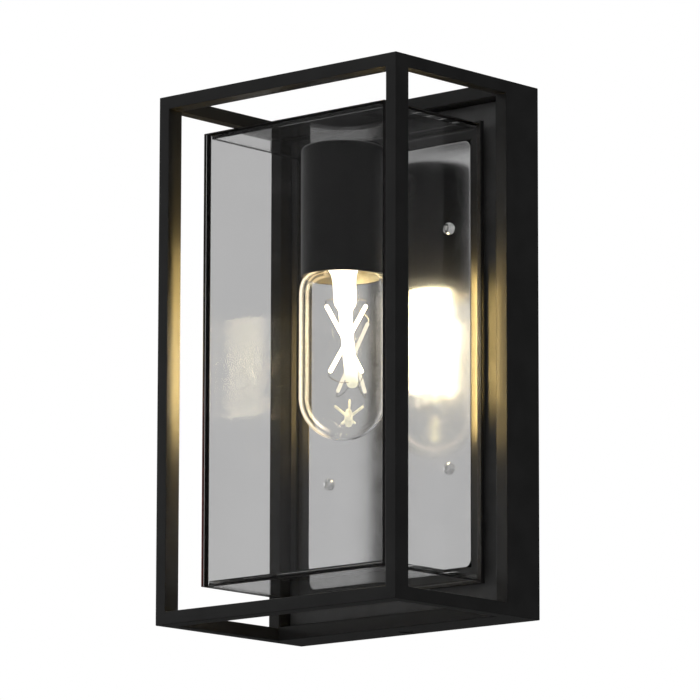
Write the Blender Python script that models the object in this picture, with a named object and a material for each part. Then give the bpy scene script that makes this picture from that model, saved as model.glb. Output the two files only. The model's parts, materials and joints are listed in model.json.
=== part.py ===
"""Outdoor wall lantern: an open steel cage round a glass box, on a shallow wall box.

Metres, +Z up.  The origin is the centre of the face that lies on the wall.
The wall is at +Y, the front of the lantern faces -Y and +X is to its right.
"""

import math

import bmesh
import bpy
from mathutils import Matrix, Vector

# ---------------------------------------------------------------- overall size
WIDTH = 0.165
HEIGHT = 0.280
DEPTH = 0.113

GAP = 0.0003            # clearance between pieces that touch
SHEET = 0.0012          # folded sheet steel
CUT_PAST = 0.0020       # how far a cutter runs past the face it cuts

# ------------------------------------------------------------------- the cage
BAR_FACE = 0.0069       # width of the cage tubes seen from the front
BAR_DEPTH = 0.0100      # depth of the front tubes
BAR_WALL = 0.0010

RIM_DEPTH = 0.0258      # deep rim that the cage is welded to
RIM_FACE = 0.0075
RIM_INNER_REAR = 0.0020

# ------------------------------------------------------------------- wall box
GROOVE_DEPTH = 0.0080   # box front below the rim's front
PLATEAU_RISE = 0.0048   # raised field that carries the mirror plate
GASKET_WIDTH = 0.0060
GASKET_THICK = 0.0016

# ---------------------------------------------------------------- mirror plate
MIRROR_HALF_WIDTH = 0.0552
MIRROR_HALF_HEIGHT = 0.1122
MIRROR_THICK = 0.0010
MIRROR_CORNER = 0.0040
MIRROR_SCREW_X = 0.0408
MIRROR_SCREW_HEIGHTS = {"lower": -0.0597, "upper": 0.0670}
SCREW_HEAD_RADIUS = 0.0032
SCREW_HEAD_RISE = 0.0020
SCREW_SHANK_RADIUS = 0.0016
SCREW_HOLE_RADIUS = 0.0020

# ----------------------------------------------------------------- glass shade
GLASS = 0.0030
GLASS_HALF_WIDTH = 0.0630
GLASS_HALF_HEIGHT = 0.1200
GLASS_FRONT_SETBACK = 0.0135
SHADE_HALF_WIDTH = 0.0645
SHADE_HALF_HEIGHT = 0.1215
SHADE_RECESS = 0.0020   # shade frame's face below the rim's front
SKIRT_INSET = 0.0040    # the frame's face overhangs its skirt by this much
SEAL = 0.0010

CLIP_LEAF = 0.0006
CLIP_FOOT = 0.0045      # width of a clip's foot on the wall box
CLIP_HALF_LENGTH = 0.0120

# ---------------------------------------------------------- lamp cup and holder
LAMP_AXIS_Y = -0.0594
CUP_RADIUS = 0.0219
CUP_WALL = 0.0015
CUP_RIM_Z = 0.0411
CUP_TOP_Z = 0.1102
CUP_ROUND = 0.0025

ARM_Z = 0.0970
ARM_RADIUS = 0.0050
ARM_BORE = 0.0034
ARM_HOLE = 0.0053
COLLAR_RADIUS = 0.0080
COLLAR_THICK = 0.0020
NUT_RADIUS = 0.0081
NUT_THICK = 0.0034

HOLDER_RADIUS = 0.0185
HOLDER_BOTTOM = 0.0485
HOLDER_TOP = 0.0860
HOLDER_BORE = 0.0154
HOLDER_CEILING = 0.0780
STRAP_HALF_WIDTH = 0.0060
HOLDER_SCREW_OFFSET = 0.0080
HOLDER_SCREW_HOLE = 0.0017
WIRE_HOLE = 0.0016
CONTACT_THICK = 0.0005
CONTACT_HALF_WIDTH = 0.0030
TERMINAL_X = 0.0088      # the leads enter the holder here

# ------------------------------------------------- thread of the bulb's base
THREAD_LEAD = 0.00363
THREAD_MEAN = 0.01248
THREAD_DEPTH = 0.00055
THREAD_CLEARANCE = 0.0005
THREAD_STEPS = 5        # rows in one turn of lead
ROUND_THREAD = 20       # sides of the threaded pieces

# ------------------------------------------------------------------------ bulb
BULB_RADIUS = 0.0228
BULB_BOTTOM = -0.0451
BULB_WALL = 0.0008
SHOULDER_Z = 0.0315
SHOULDER_RIM_RADIUS = 0.0190
NECK_RADIUS = 0.0111
NECK_BOTTOM = 0.0470
NECK_TOP = 0.0530
CAP_BOTTOM = 0.0480
CAP_TOP = 0.0690
CAP_INNER = 0.0115
TIP_TOP = 0.0742

STICK_RADIUS = 0.0010
STICK_LENGTH = 0.0405
STICK_FACING = math.radians(-48.5)   # compass direction of the front pair
STICK_RING = 0.0072                  # distance of each pair from the bulb's axis
# side of the stem, lean in degrees, sideways offset and height of the middle
STICKS = {
    "filament_front_a": (1, 28.0, 0.00270, 0.0070),
    "filament_front_b": (1, -28.0, 0.00075, 0.0074),
    "filament_back_a": (-1, 23.5, 0.00515, 0.0002),
    "filament_back_b": (-1, -16.0, 0.00620, 0.0002),
}

# ------------------------------------------------------------- derived planes
HALF_W = WIDTH / 2
HALF_H = HEIGHT / 2
RIM_FRONT = -RIM_DEPTH
BOX_FRONT = RIM_FRONT + GROOVE_DEPTH
BOX_HALF_W = HALF_W - RIM_FACE - GAP
BOX_HALF_H = HALF_H - RIM_FACE - GAP
BOX_REAR = -GASKET_THICK - GAP
PLATEAU_FRONT = BOX_FRONT - PLATEAU_RISE
MIRROR_REAR = PLATEAU_FRONT - GAP
MIRROR_FRONT = MIRROR_REAR - MIRROR_THICK
SHADE_FACE = RIM_FRONT + SHADE_RECESS
PANE_REAR = SHADE_FACE - GAP
GLASS_FRONT = -DEPTH + GLASS_FRONT_SETBACK
PANE_FRONT_END = GLASS_FRONT + GLASS + GAP
LAMP_AXIS = Vector((0, LAMP_AXIS_Y, 0))

ROUND = 32


# ============================================================ general helpers
def material(name, colour, roughness, metallic=0.0, transmission=0.0, glow=0.0):
    """A Principled BSDF with one finish."""
    found = bpy.data.materials.get(name)
    if found:
        return found
    made = bpy.data.materials.new(name)
    made.use_nodes = True
    shader = made.node_tree.nodes["Principled BSDF"]
    shader.inputs["Base Color"].default_value = (*colour, 1)
    shader.inputs["Roughness"].default_value = roughness
    shader.inputs["Metallic"].default_value = metallic
    shader.inputs["Transmission Weight"].default_value = transmission
    if glow:
        shader.inputs["Emission Color"].default_value = (*colour, 1)
        shader.inputs["Emission Strength"].default_value = glow
    made.diffuse_color = (*colour, 1)
    return made


def black_coat():
    return material("black_powder_coat", (0.018, 0.019, 0.019), 0.45)


def zinc():
    return material("zinc_plate", (0.62, 0.62, 0.60), 0.35, metallic=1.0)


def brass():
    return material("brass", (0.72, 0.52, 0.24), 0.3, metallic=1.0)


def clear_glass():
    return material("clear_glass", (0.95, 0.95, 0.95), 0.02, transmission=1.0)


def smoked_glass():
    return material("smoked_glass", (0.62, 0.62, 0.62), 0.03, transmission=1.0)


def add_mesh(name, verts, faces, finish, smooth_angle=None, centre=None):
    """One named object from points and faces, its normals facing out.

    centre is the object's own origin, in the same coordinates as verts.
    """
    centre = Vector(centre) if centre else Vector()
    mesh = bpy.data.meshes.new(name)
    mesh.from_pydata([Vector(v) - centre for v in verts], [], faces)
    work = bmesh.new()
    work.from_mesh(mesh)
    bmesh.ops.recalc_face_normals(work, faces=work.faces)
    work.to_mesh(mesh)
    work.free()
    if smooth_angle:
        mesh.shade_smooth()
        mesh.set_sharp_from_angle(angle=math.radians(smooth_angle))
    mesh.materials.append(finish)
    obj = bpy.data.objects.new(name, mesh)
    obj.location = centre
    bpy.context.scene.collection.objects.link(obj)
    return obj


def bridge(faces, ring_a, ring_b, closed=True):
    """Quads between two rings of vertex numbers."""
    count = len(ring_a)
    for i in range(count if closed else count - 1):
        j = (i + 1) % count
        faces.append((ring_a[i], ring_a[j], ring_b[j], ring_b[i]))


def add_box(name, low, high, finish):
    """An upright block between two corners."""
    verts = [(x, y, z) for x in (low[0], high[0]) for y in (low[1], high[1])
             for z in (low[2], high[2])]
    faces = [(0, 1, 3, 2), (4, 6, 7, 5), (0, 4, 5, 1), (2, 3, 7, 6), (0, 2, 6, 4), (1, 5, 7, 3)]
    return add_mesh(name, verts, faces, finish)


def add_prism(name, outline, along, near, far, finish, smooth_angle=None):
    """A closed outline of (a, b) points extruded along one axis.

    (a, b) are the two other axes in X, Y, Z order.
    """
    others = [i for i in range(3) if i != along]
    verts = []
    for distance in (near, far):
        for a, b in outline:
            point = [0.0, 0.0, 0.0]
            point[others[0]] = a
            point[others[1]] = b
            point[along] = distance
            verts.append(point)
    count = len(outline)
    faces = [tuple(range(count)), tuple(range(count, 2 * count))]
    bridge(faces, range(count), range(count, 2 * count))
    return add_mesh(name, verts, faces, finish, smooth_angle)


def add_turned(name, profile, finish, origin, axis="Z", sides=ROUND, smooth_angle=35):
    """A closed profile of (radius, distance) points turned round an axis.

    A profile whose first and last points lie on the axis makes a solid; any
    other profile is a closed loop and makes a sleeve.
    """
    turn = Matrix() if axis == "Z" else Matrix.Rotation(math.radians(-90), 4, "X")
    origin = Vector(origin)
    verts = []
    rings = []
    for radius, distance in profile:
        if radius == 0:
            rings.append([len(verts)])
            verts.append(origin + turn @ Vector((0, 0, distance)))
            continue
        rings.append(list(range(len(verts), len(verts) + sides)))
        for i in range(sides):
            angle = 2 * math.pi * i / sides
            point = Vector((radius * math.cos(angle), radius * math.sin(angle), distance))
            verts.append(origin + turn @ point)
    faces = []
    solid = profile[0][0] == 0
    for i in range(len(rings) - 1 if solid else len(rings)):
        ring_a = rings[i]
        ring_b = rings[(i + 1) % len(rings)]
        if len(ring_a) == 1 or len(ring_b) == 1:
            pole, ring = (ring_a, ring_b) if len(ring_a) == 1 else (ring_b, ring_a)
            faces += [(pole[0], ring[k], ring[(k + 1) % sides]) for k in range(sides)]
        else:
            bridge(faces, ring_a, ring_b)
    return add_mesh(name, verts, faces, finish, smooth_angle, centre=origin)


def arc(centre, radius, start, end, steps):
    """Points of a circular arc, angles in degrees, both ends included."""
    points = []
    for i in range(steps + 1):
        angle = math.radians(start + (end - start) * i / steps)
        points.append((centre[0] + radius * math.cos(angle), centre[1] + radius * math.sin(angle)))
    return points


def rounded_outline(half_width, half_height, radius, steps=5):
    """A rectangle with round corners, anticlockwise."""
    points = []
    for sx, sz, start in ((1, -1, -90), (1, 1, 0), (-1, 1, 90), (-1, -1, 180)):
        centre = (sx * (half_width - radius), sz * (half_height - radius))
        points += arc(centre, radius, start, start + 90, steps)
    return points


def cutter(name, centre, radius, axis, near, far, sides=20):
    """A round cutter along one axis."""
    cut = add_turned(name, [(0, near), (radius, near), (radius, far), (0, far)], zinc(),
                     centre, axis=axis, sides=sides)
    mark_cutter(cut)
    return cut


def mark_cutter(obj):
    obj.hide_render = True
    obj.display_type = "WIRE"


def cut_from(obj, *cutters):
    """Take the cutters out of an object."""
    for index, tool in enumerate(cutters):
        change = obj.modifiers.new(f"cut_{index}", "BOOLEAN")
        change.operation = "DIFFERENCE"
        change.solver = "EXACT"
        change.object = tool


# ================================================== frames of four mitred bars
def add_frame(names, half_w, half_h, section, hole, finish):
    """Four bars of one section, mitred into a rectangle.

    section holds (inset, y) points, inset being measured inwards from the
    frame's outer edge.  hole is a second loop of as many points that makes
    the bar a tube, or None.
    """
    mitre = GAP / math.sqrt(2)
    made = []
    for name, across, sign in names:
        verts = []
        loops = []
        for loop in [section] + ([hole] if hole else []):
            ends = []
            for end in (-1, 1):
                ring = []
                for inset, y in loop:
                    if across == "X":
                        point = (end * (half_w - inset - mitre), y, sign * (half_h - inset))
                    else:
                        point = (sign * (half_w - inset), y, end * (half_h - inset - mitre))
                    ring.append(len(verts))
                    verts.append(point)
                ends.append(ring)
            loops.append(ends)
        faces = []
        for ends in loops:
            bridge(faces, ends[0], ends[1])
        for end in range(2):
            if hole:
                bridge(faces, loops[0][end], loops[1][end])
            else:
                faces.append(tuple(loops[0][end]))
        made.append(add_mesh(name, verts, faces, finish))
    return made


def frame_names(left, right, top, bottom):
    return [(left, "Z", -1), (right, "Z", 1), (top, "X", 1), (bottom, "X", -1)]


def rectangle(inset_a, inset_b, y_a, y_b):
    return [(inset_a, y_a), (inset_b, y_a), (inset_b, y_b), (inset_a, y_b)]


def build_front_frame():
    """The cage's front: four steel tubes."""
    names = frame_names("front_post_left", "front_post_right", "front_rail_top", "front_rail_bottom")
    rear = -DEPTH + BAR_DEPTH
    outer = rectangle(0, BAR_FACE, -DEPTH, rear)
    inner = rectangle(BAR_WALL, BAR_FACE - BAR_WALL, -DEPTH + BAR_WALL, rear - BAR_WALL)
    add_frame(names, HALF_W, HALF_H, outer, inner, black_coat())


def build_side_rails():
    """Four tubes from the front frame back to the rim."""
    near = -DEPTH + BAR_DEPTH + GAP
    far = RIM_FRONT - GAP
    for side, sx in (("left", -1), ("right", 1)):
        for level, sz in (("top", 1), ("bottom", -1)):
            verts = []
            rings = []
            for y in (near, far):
                for wall in (0, BAR_WALL):
                    xs = (sx * (HALF_W - wall), sx * (HALF_W - BAR_FACE + wall))
                    zs = (sz * (HALF_H - wall), sz * (HALF_H - BAR_FACE + wall))
                    corners = [(xs[0], zs[0]), (xs[1], zs[0]), (xs[1], zs[1]), (xs[0], zs[1])]
                    rings.append(list(range(len(verts), len(verts) + 4)))
                    verts += [(x, y, z) for x, z in corners]
            faces = []
            for ring_a, ring_b in ((0, 1), (2, 3), (0, 2), (1, 3)):
                bridge(faces, rings[ring_a], rings[ring_b])
            add_mesh(f"side_rail_{level}_{side}", verts, faces, black_coat())


def build_rim():
    """The deep rim round the wall box: folded channels, open to the wall."""
    names = frame_names("rim_left", "rim_right", "rim_top", "rim_bottom")
    section = [
        (0, 0),
        (0, RIM_FRONT),
        (RIM_FACE, RIM_FRONT),
        (RIM_FACE, -RIM_INNER_REAR),
        (RIM_FACE - SHEET, -RIM_INNER_REAR),
        (RIM_FACE - SHEET, RIM_FRONT + SHEET),
        (SHEET, RIM_FRONT + SHEET),
        (SHEET, 0),
    ]
    return add_frame(names, HALF_W, HALF_H, section, None, black_coat())


# =================================================================== wall box
def add_nested_shell(name, rings, finish):
    """Rectangles (half width, bottom, top, y) joined in turn and capped at both ends."""
    verts = []
    loops = []
    for half_w, bottom, top, y in rings:
        loops.append(list(range(len(verts), len(verts) + 4)))
        verts += [(-half_w, y, bottom), (half_w, y, bottom), (half_w, y, top), (-half_w, y, top)]
    faces = [tuple(loops[0]), tuple(loops[-1])]
    for ring_a, ring_b in zip(loops, loops[1:]):
        bridge(faces, ring_a, ring_b)
    return add_mesh(name, verts, faces, finish)


def build_back_box():
    """A pressed sheet box, open to the wall, with a raised field for the mirror."""
    field_w = MIRROR_HALF_WIDTH - SHEET
    field_high = MIRROR_HALF_HEIGHT - SHEET
    field_low = -field_high
    inner_w = BOX_HALF_W - SHEET
    inner_h = BOX_HALF_H - SHEET
    box = add_nested_shell("back_box", [
        (field_w, field_low, field_high, PLATEAU_FRONT),
        (field_w, field_low, field_high, BOX_FRONT),
        (BOX_HALF_W, -BOX_HALF_H, BOX_HALF_H, BOX_FRONT),
        (BOX_HALF_W, -BOX_HALF_H, BOX_HALF_H, BOX_REAR),
        (inner_w, -inner_h, inner_h, BOX_REAR),
        (inner_w, -inner_h, inner_h, BOX_FRONT + SHEET),
        (field_w - SHEET, field_low + SHEET, field_high - SHEET, BOX_FRONT + SHEET),
        (field_w - SHEET, field_low + SHEET, field_high - SHEET, PLATEAU_FRONT + SHEET),
    ], black_coat())
    near = PLATEAU_FRONT - CUT_PAST
    far = PLATEAU_FRONT + SHEET + CUT_PAST
    holes = [cutter("cut_box_arm", (0, 0, ARM_Z), ARM_HOLE, "Y", near, far, 24)]
    for place, x, z in mirror_screw_places():
        holes.append(cutter(f"cut_box_{place}", (x, 0, z), SCREW_HOLE_RADIUS, "Y", near, far, 12))
    for level, sz in (("top", 1), ("bottom", -1)):
        edge = sz * BOX_HALF_H
        centre = (0, fixing_screw_y(), edge)
        holes.append(cutter(f"cut_box_{level}", centre, SCREW_HOLE_RADIUS, "Z", -0.003, 0.003, 12))
    cut_from(box, *holes)


def build_gasket():
    """Foam ring between the wall box and the wall."""
    half_w = BOX_HALF_W - GAP
    half_h = BOX_HALF_H - GAP
    verts = []
    rings = []
    for inset in (0, GASKET_WIDTH):
        for y in (-GASKET_THICK, 0):
            rings.append(list(range(len(verts), len(verts) + 4)))
            x, z = half_w - inset, half_h - inset
            verts += [(-x, y, -z), (x, y, -z), (x, y, z), (-x, y, z)]
    faces = []
    for ring_a, ring_b in ((0, 1), (2, 3), (0, 2), (1, 3)):
        bridge(faces, rings[ring_a], rings[ring_b])
    add_mesh("wall_gasket", verts, faces, material("foam_rubber", (0.03, 0.03, 0.03), 0.9))


# ==================================================== bracket and its fasteners
BRACKET_HALF_WIDTH = 0.0125
BRACKET_THICK = 0.0020
BRACKET_LIP = 0.0150
SLOT_CENTRE = 0.0419
SLOT_HALF_LENGTH = 0.0060
SLOT_RADIUS = 0.0026
GROUND_SCREW_PLACE = (0.0, 0.0200)
FLUSH_HEAD_RADIUS = 0.0036
FLUSH_HEAD_DEPTH = 0.0024


def fixing_screw_y():
    """Depth of the two screws that hold the lantern on its bracket."""
    return -BRACKET_LIP + 0.005


def bracket_half_height():
    """The strap ends inside the gasket."""
    return BOX_HALF_H - GASKET_WIDTH - 2 * GAP


def build_bracket():
    """A strap on the wall with its ends turned forward."""
    tip = bracket_half_height()
    inner = tip - BRACKET_THICK
    outline = [
        (0, -tip), (-BRACKET_LIP, -tip), (-BRACKET_LIP, -inner), (-BRACKET_THICK, -inner),
        (-BRACKET_THICK, inner), (-BRACKET_LIP, inner), (-BRACKET_LIP, tip), (0, tip),
    ]
    strap = add_prism("mounting_bracket", outline, 0, -BRACKET_HALF_WIDTH, BRACKET_HALF_WIDTH, zinc())
    holes = []
    for level, sz in (("top", 1), ("bottom", -1)):
        slot_z = sz * SLOT_CENTRE
        ends = arc((0, slot_z + SLOT_HALF_LENGTH - SLOT_RADIUS), SLOT_RADIUS, 0, 180, 6)
        ends += arc((0, slot_z - SLOT_HALF_LENGTH + SLOT_RADIUS), SLOT_RADIUS, 180, 360, 6)
        slot = add_prism(f"cut_slot_{level}", ends, 1, -0.004, 0.002, zinc())
        mark_cutter(slot)
        holes.append(slot)
        centre = (0, fixing_screw_y(), sz * (tip - BRACKET_THICK / 2))
        holes.append(cutter(f"cut_lip_{level}", centre, SCREW_HOLE_RADIUS, "Z", -0.003, 0.003, 12))
    x, z = GROUND_SCREW_PLACE
    holes.append(cutter("cut_ground", (x, 0, z), SCREW_HOLE_RADIUS, "Y", -0.004, 0.002, 12))
    cut_from(strap, *holes)


def pan_head(radius, rise, shank_radius, shank_length):
    """Profile of a screw: domed head with a central recess, then a plain shank.

    Distance 0 is the head's underside and the head stands at negative distance.
    """
    return [
        (0, -rise * 0.45),
        (radius * 0.22, -rise * 0.50),
        (radius * 0.30, -rise * 0.98),
        (radius * 0.62, -rise * 0.90),
        (radius * 0.90, -rise * 0.55),
        (radius, -rise * 0.12),
        (radius * 0.96, 0),
        (shank_radius, 0),
        (shank_radius, shank_length),
        (0, shank_length),
    ]


def build_ground_screw():
    x, z = GROUND_SCREW_PLACE
    green = material("green_zinc", (0.05, 0.30, 0.10), 0.4, metallic=0.6)
    profile = pan_head(0.0035, 0.0022, SCREW_SHANK_RADIUS, 0.0022)
    add_turned("ground_screw", profile, green, (x, -BRACKET_THICK - GAP, z), axis="Y", sides=16)


def build_fixing_screws(rim):
    """Two flush screws, through rim and wall box into the bracket's lips."""
    y = fixing_screw_y()
    length = HALF_H - bracket_half_height() + 0.006
    shank = (
        (0, GAP), (FLUSH_HEAD_RADIUS, GAP), (SCREW_SHANK_RADIUS, FLUSH_HEAD_DEPTH),
        (SCREW_SHANK_RADIUS, length), (0, length),
    )
    seat_radius = FLUSH_HEAD_RADIUS + GAP
    beyond = RIM_FACE + 0.001
    seat = (
        (0, -0.001), (seat_radius, -0.001), (seat_radius, 0), (SCREW_HOLE_RADIUS, FLUSH_HEAD_DEPTH),
        (SCREW_HOLE_RADIUS, beyond), (0, beyond),
    )
    for level, sz, member in (("top", 1, rim[2]), ("bottom", -1, rim[3])):
        inwards = [(r, sz * (HALF_H - d)) for r, d in shank]
        add_turned(f"fixing_screw_{level}", inwards, black_coat(), (0, y, 0), sides=16)
        opening = [(r, sz * (HALF_H - d)) for r, d in seat]
        hole = add_turned(f"cut_rim_{level}", opening, zinc(), (0, y, 0), sides=16)
        mark_cutter(hole)
        cut_from(member, hole)


# ============================================================== mirror plate
def mirror_screw_places():
    """(name, x, z) of the four screws."""
    places = []
    for level, z in MIRROR_SCREW_HEIGHTS.items():
        for side, sx in (("left", -1), ("right", 1)):
            places.append((f"mirror_screw_{level}_{side}", sx * MIRROR_SCREW_X, z))
    return places


def build_mirror():
    """The polished plate behind the lamp and its four screws."""
    steel = material("polished_steel", (0.75, 0.75, 0.75), 0.15, metallic=1.0)
    outline = rounded_outline(MIRROR_HALF_WIDTH, MIRROR_HALF_HEIGHT, MIRROR_CORNER)
    plate = add_prism("mirror_plate", outline, 1, MIRROR_FRONT, MIRROR_REAR, steel)
    near = MIRROR_FRONT - CUT_PAST
    far = MIRROR_REAR + CUT_PAST
    holes = [cutter("cut_mirror_arm", (0, 0, ARM_Z), ARM_HOLE, "Y", near, far, 24)]
    for place, x, z in mirror_screw_places():
        holes.append(cutter(f"cut_plate_{place}", (x, 0, z), SCREW_HOLE_RADIUS, "Y", near, far, 12))
        profile = pan_head(SCREW_HEAD_RADIUS, SCREW_HEAD_RISE, SCREW_SHANK_RADIUS, 0.0070)
        add_turned(place, profile, zinc(), (x, MIRROR_FRONT - GAP, z), axis="Y", sides=14)
    cut_from(plate, *holes)


# ============================================================== glass shade
def build_shade_frame():
    """Frame that the glass is bonded to, with a skirt that slips over the raised field."""
    names = frame_names("shade_frame_left", "shade_frame_right", "shade_frame_top",
                        "shade_frame_bottom")
    face = SHADE_HALF_WIDTH - MIRROR_HALF_WIDTH - GAP
    rear = BOX_FRONT - GAP
    back = SHADE_FACE + SHEET
    section = [
        (0, back),
        (0, SHADE_FACE),
        (face, SHADE_FACE),
        (face, back),
        (SKIRT_INSET + SHEET, back),
        (SKIRT_INSET + SHEET, rear),
        (SKIRT_INSET, rear),
        (SKIRT_INSET, back),
    ]
    add_frame(names, SHADE_HALF_WIDTH, SHADE_HALF_HEIGHT, section, None, black_coat())


def build_panes():
    """Five flat panes that make a box, open to the rear."""
    w, h = GLASS_HALF_WIDTH, GLASS_HALF_HEIGHT
    finish = smoked_glass()
    add_box("pane_front", (-w, GLASS_FRONT, -h), (w, GLASS_FRONT + GLASS, h), finish)
    for side, sx in (("left", -1), ("right", 1)):
        xs = sorted((sx * w, sx * (w - GLASS)))
        add_box(f"pane_{side}", (xs[0], PANE_FRONT_END, -h), (xs[1], PANE_REAR, h), finish)
    inner = w - GLASS - GAP
    for level, sz in (("top", 1), ("bottom", -1)):
        zs = sorted((sz * h, sz * (h - GLASS)))
        add_box(f"pane_{level}", (-inner, PANE_FRONT_END, zs[0]), (inner, PANE_REAR, zs[1]), finish)


def build_seal():
    """Bead of sealant round the glass where it meets its frame."""
    verts = []
    rings = []
    for grow in (GAP, GAP + SEAL):
        for y in (PANE_REAR - SEAL, PANE_REAR):
            rings.append(list(range(len(verts), len(verts) + 4)))
            x, z = GLASS_HALF_WIDTH + grow, GLASS_HALF_HEIGHT + grow
            verts += [(-x, y, -z), (x, y, -z), (x, y, z), (-x, y, z)]
    faces = []
    for ring_a, ring_b in ((0, 1), (2, 3), (0, 2), (1, 3)):
        bridge(faces, rings[ring_a], rings[ring_b])
    add_mesh("shade_seal", verts, faces, material("black_sealant", (0.01, 0.01, 0.01), 0.5))


def build_clips():
    """Spring clips on the wall box that grip the shade frame's skirt from inside."""
    spring = material("spring_steel", (0.5, 0.5, 0.5), 0.35, metallic=1.0)
    outer = SHADE_HALF_WIDTH - SKIRT_INSET - SHEET - GAP
    foot = outer - CLIP_FOOT
    base = BOX_FRONT - GAP
    tip = SHADE_FACE + SHEET + GAP
    for side, sx in (("left", -1), ("right", 1)):
        outline = [
            (sx * foot, base), (sx * foot, base - CLIP_LEAF),
            (sx * (outer - 2 * CLIP_LEAF), base - CLIP_LEAF), (sx * (outer - CLIP_LEAF), tip),
            (sx * outer, tip), (sx * (outer - CLIP_LEAF), base),
        ]
        add_prism(f"shade_clip_{side}", outline, 2, -CLIP_HALF_LENGTH, CLIP_HALF_LENGTH, spring)


# ======================================================== arm, cup and holder
def build_arm():
    """A tube from the wall box to the cup, with a collar at the plate and at the cup."""
    plate_side = MIRROR_FRONT - GAP
    cup_side = LAMP_AXIS_Y + CUP_RADIUS + GAP
    rear = PLATEAU_FRONT + SHEET + GAP + NUT_THICK + 0.002
    front = LAMP_AXIS_Y + CUP_RADIUS - CUP_WALL - 0.0080
    profile = [
        (ARM_BORE, rear), (ARM_RADIUS, rear),
        (ARM_RADIUS, plate_side), (COLLAR_RADIUS, plate_side),
        (COLLAR_RADIUS, plate_side - COLLAR_THICK), (ARM_RADIUS, plate_side - COLLAR_THICK - 0.001),
        (ARM_RADIUS, cup_side + COLLAR_THICK), (COLLAR_RADIUS * 0.85, cup_side + COLLAR_THICK),
        (COLLAR_RADIUS * 0.85, cup_side), (ARM_RADIUS, cup_side),
        (ARM_RADIUS, front), (ARM_BORE, front),
    ]
    add_turned("lamp_arm", profile, black_coat(), (0, 0, ARM_Z), axis="Y", sides=24)
    add_nut("arm_nut_rear", PLATEAU_FRONT + SHEET + GAP)
    add_nut("arm_nut_cup", strap_front() - GAP - NUT_THICK)


def add_nut(name, near):
    """A hexagon nut on the arm, from near to near plus its thickness."""
    verts = []
    rings = []
    for y in (near, near + NUT_THICK):
        for radius in (NUT_RADIUS, ARM_HOLE):
            rings.append(list(range(len(verts), len(verts) + 24)))
            for i in range(24):
                angle = 2 * math.pi * i / 24
                reach = radius
                if radius == NUT_RADIUS:
                    off_flat = (angle + math.pi / 6) % (math.pi / 3) - math.pi / 6
                    reach = radius * math.cos(math.pi / 6) / math.cos(off_flat)
                verts.append((reach * math.cos(angle), y, ARM_Z + reach * math.sin(angle)))
    faces = []
    for ring_a, ring_b in ((0, 1), (2, 3), (0, 2), (1, 3)):
        bridge(faces, rings[ring_a], rings[ring_b])
    add_mesh(name, verts, faces, zinc())


def build_cup():
    """The plain cylinder that hides the lamp holder, open downwards."""
    inner = CUP_RADIUS - CUP_WALL
    corner = (CUP_RADIUS - CUP_ROUND, CUP_TOP_Z - CUP_ROUND)
    profile = [(0, CUP_TOP_Z)]
    profile += reversed(arc(corner, CUP_ROUND, 0, 90, 4))
    profile += [(CUP_RADIUS, CUP_RIM_Z), (inner, CUP_RIM_Z), (inner, CUP_TOP_Z - CUP_WALL * 2),
                (inner - CUP_WALL, CUP_TOP_Z - CUP_WALL), (0, CUP_TOP_Z - CUP_WALL)]
    cup = add_turned("socket_cup", profile, black_coat(), LAMP_AXIS, sides=36)
    rear = LAMP_AXIS_Y + CUP_RADIUS
    cut_from(cup, cutter("cut_cup_arm", (0, 0, ARM_Z), ARM_HOLE, "Y", rear - 0.006,
                          rear + CUT_PAST, 24))


def strap_rear():
    """Rear of the holder strap, clear of the cup's round inner wall."""
    inner = CUP_RADIUS - CUP_WALL
    sagitta = inner - math.sqrt(inner ** 2 - STRAP_HALF_WIDTH ** 2)
    return LAMP_AXIS_Y + inner - sagitta - GAP


def strap_front():
    return strap_rear() - SHEET


def build_holder_strap():
    """L-shaped strap that hangs the lamp holder from the arm's end."""
    bottom = HOLDER_TOP + GAP
    top = ARM_Z + ARM_RADIUS + 0.003
    rear = strap_rear()
    front = strap_front()
    reach = LAMP_AXIS_Y - HOLDER_SCREW_OFFSET - 0.004
    outline = [
        (rear, bottom), (rear, top), (front, top), (front, bottom + SHEET),
        (reach, bottom + SHEET), (reach, bottom),
    ]
    strap = add_prism("holder_strap", outline, 0, -STRAP_HALF_WIDTH, STRAP_HALF_WIDTH, zinc())
    holes = [cutter("cut_strap_arm", (0, 0, ARM_Z), ARM_HOLE, "Y", front - CUT_PAST, rear + CUT_PAST,
                    24)]
    for place, y in holder_screw_places():
        holes.append(cutter(f"cut_{place}", (0, y, bottom), HOLDER_SCREW_HOLE, "Z", -0.001,
                            0.003, 12))
        profile = [(r, -d) for r, d in pan_head(0.0026, 0.0016, 0.0014, 0.0070)]
        add_turned(place, profile, zinc(), (0, y, bottom + SHEET + GAP), sides=12)
    cut_from(strap, *holes)


def holder_screw_places():
    return [("holder_screw_rear", LAMP_AXIS_Y + HOLDER_SCREW_OFFSET),
            ("holder_screw_front", LAMP_AXIS_Y - HOLDER_SCREW_OFFSET)]


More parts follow.
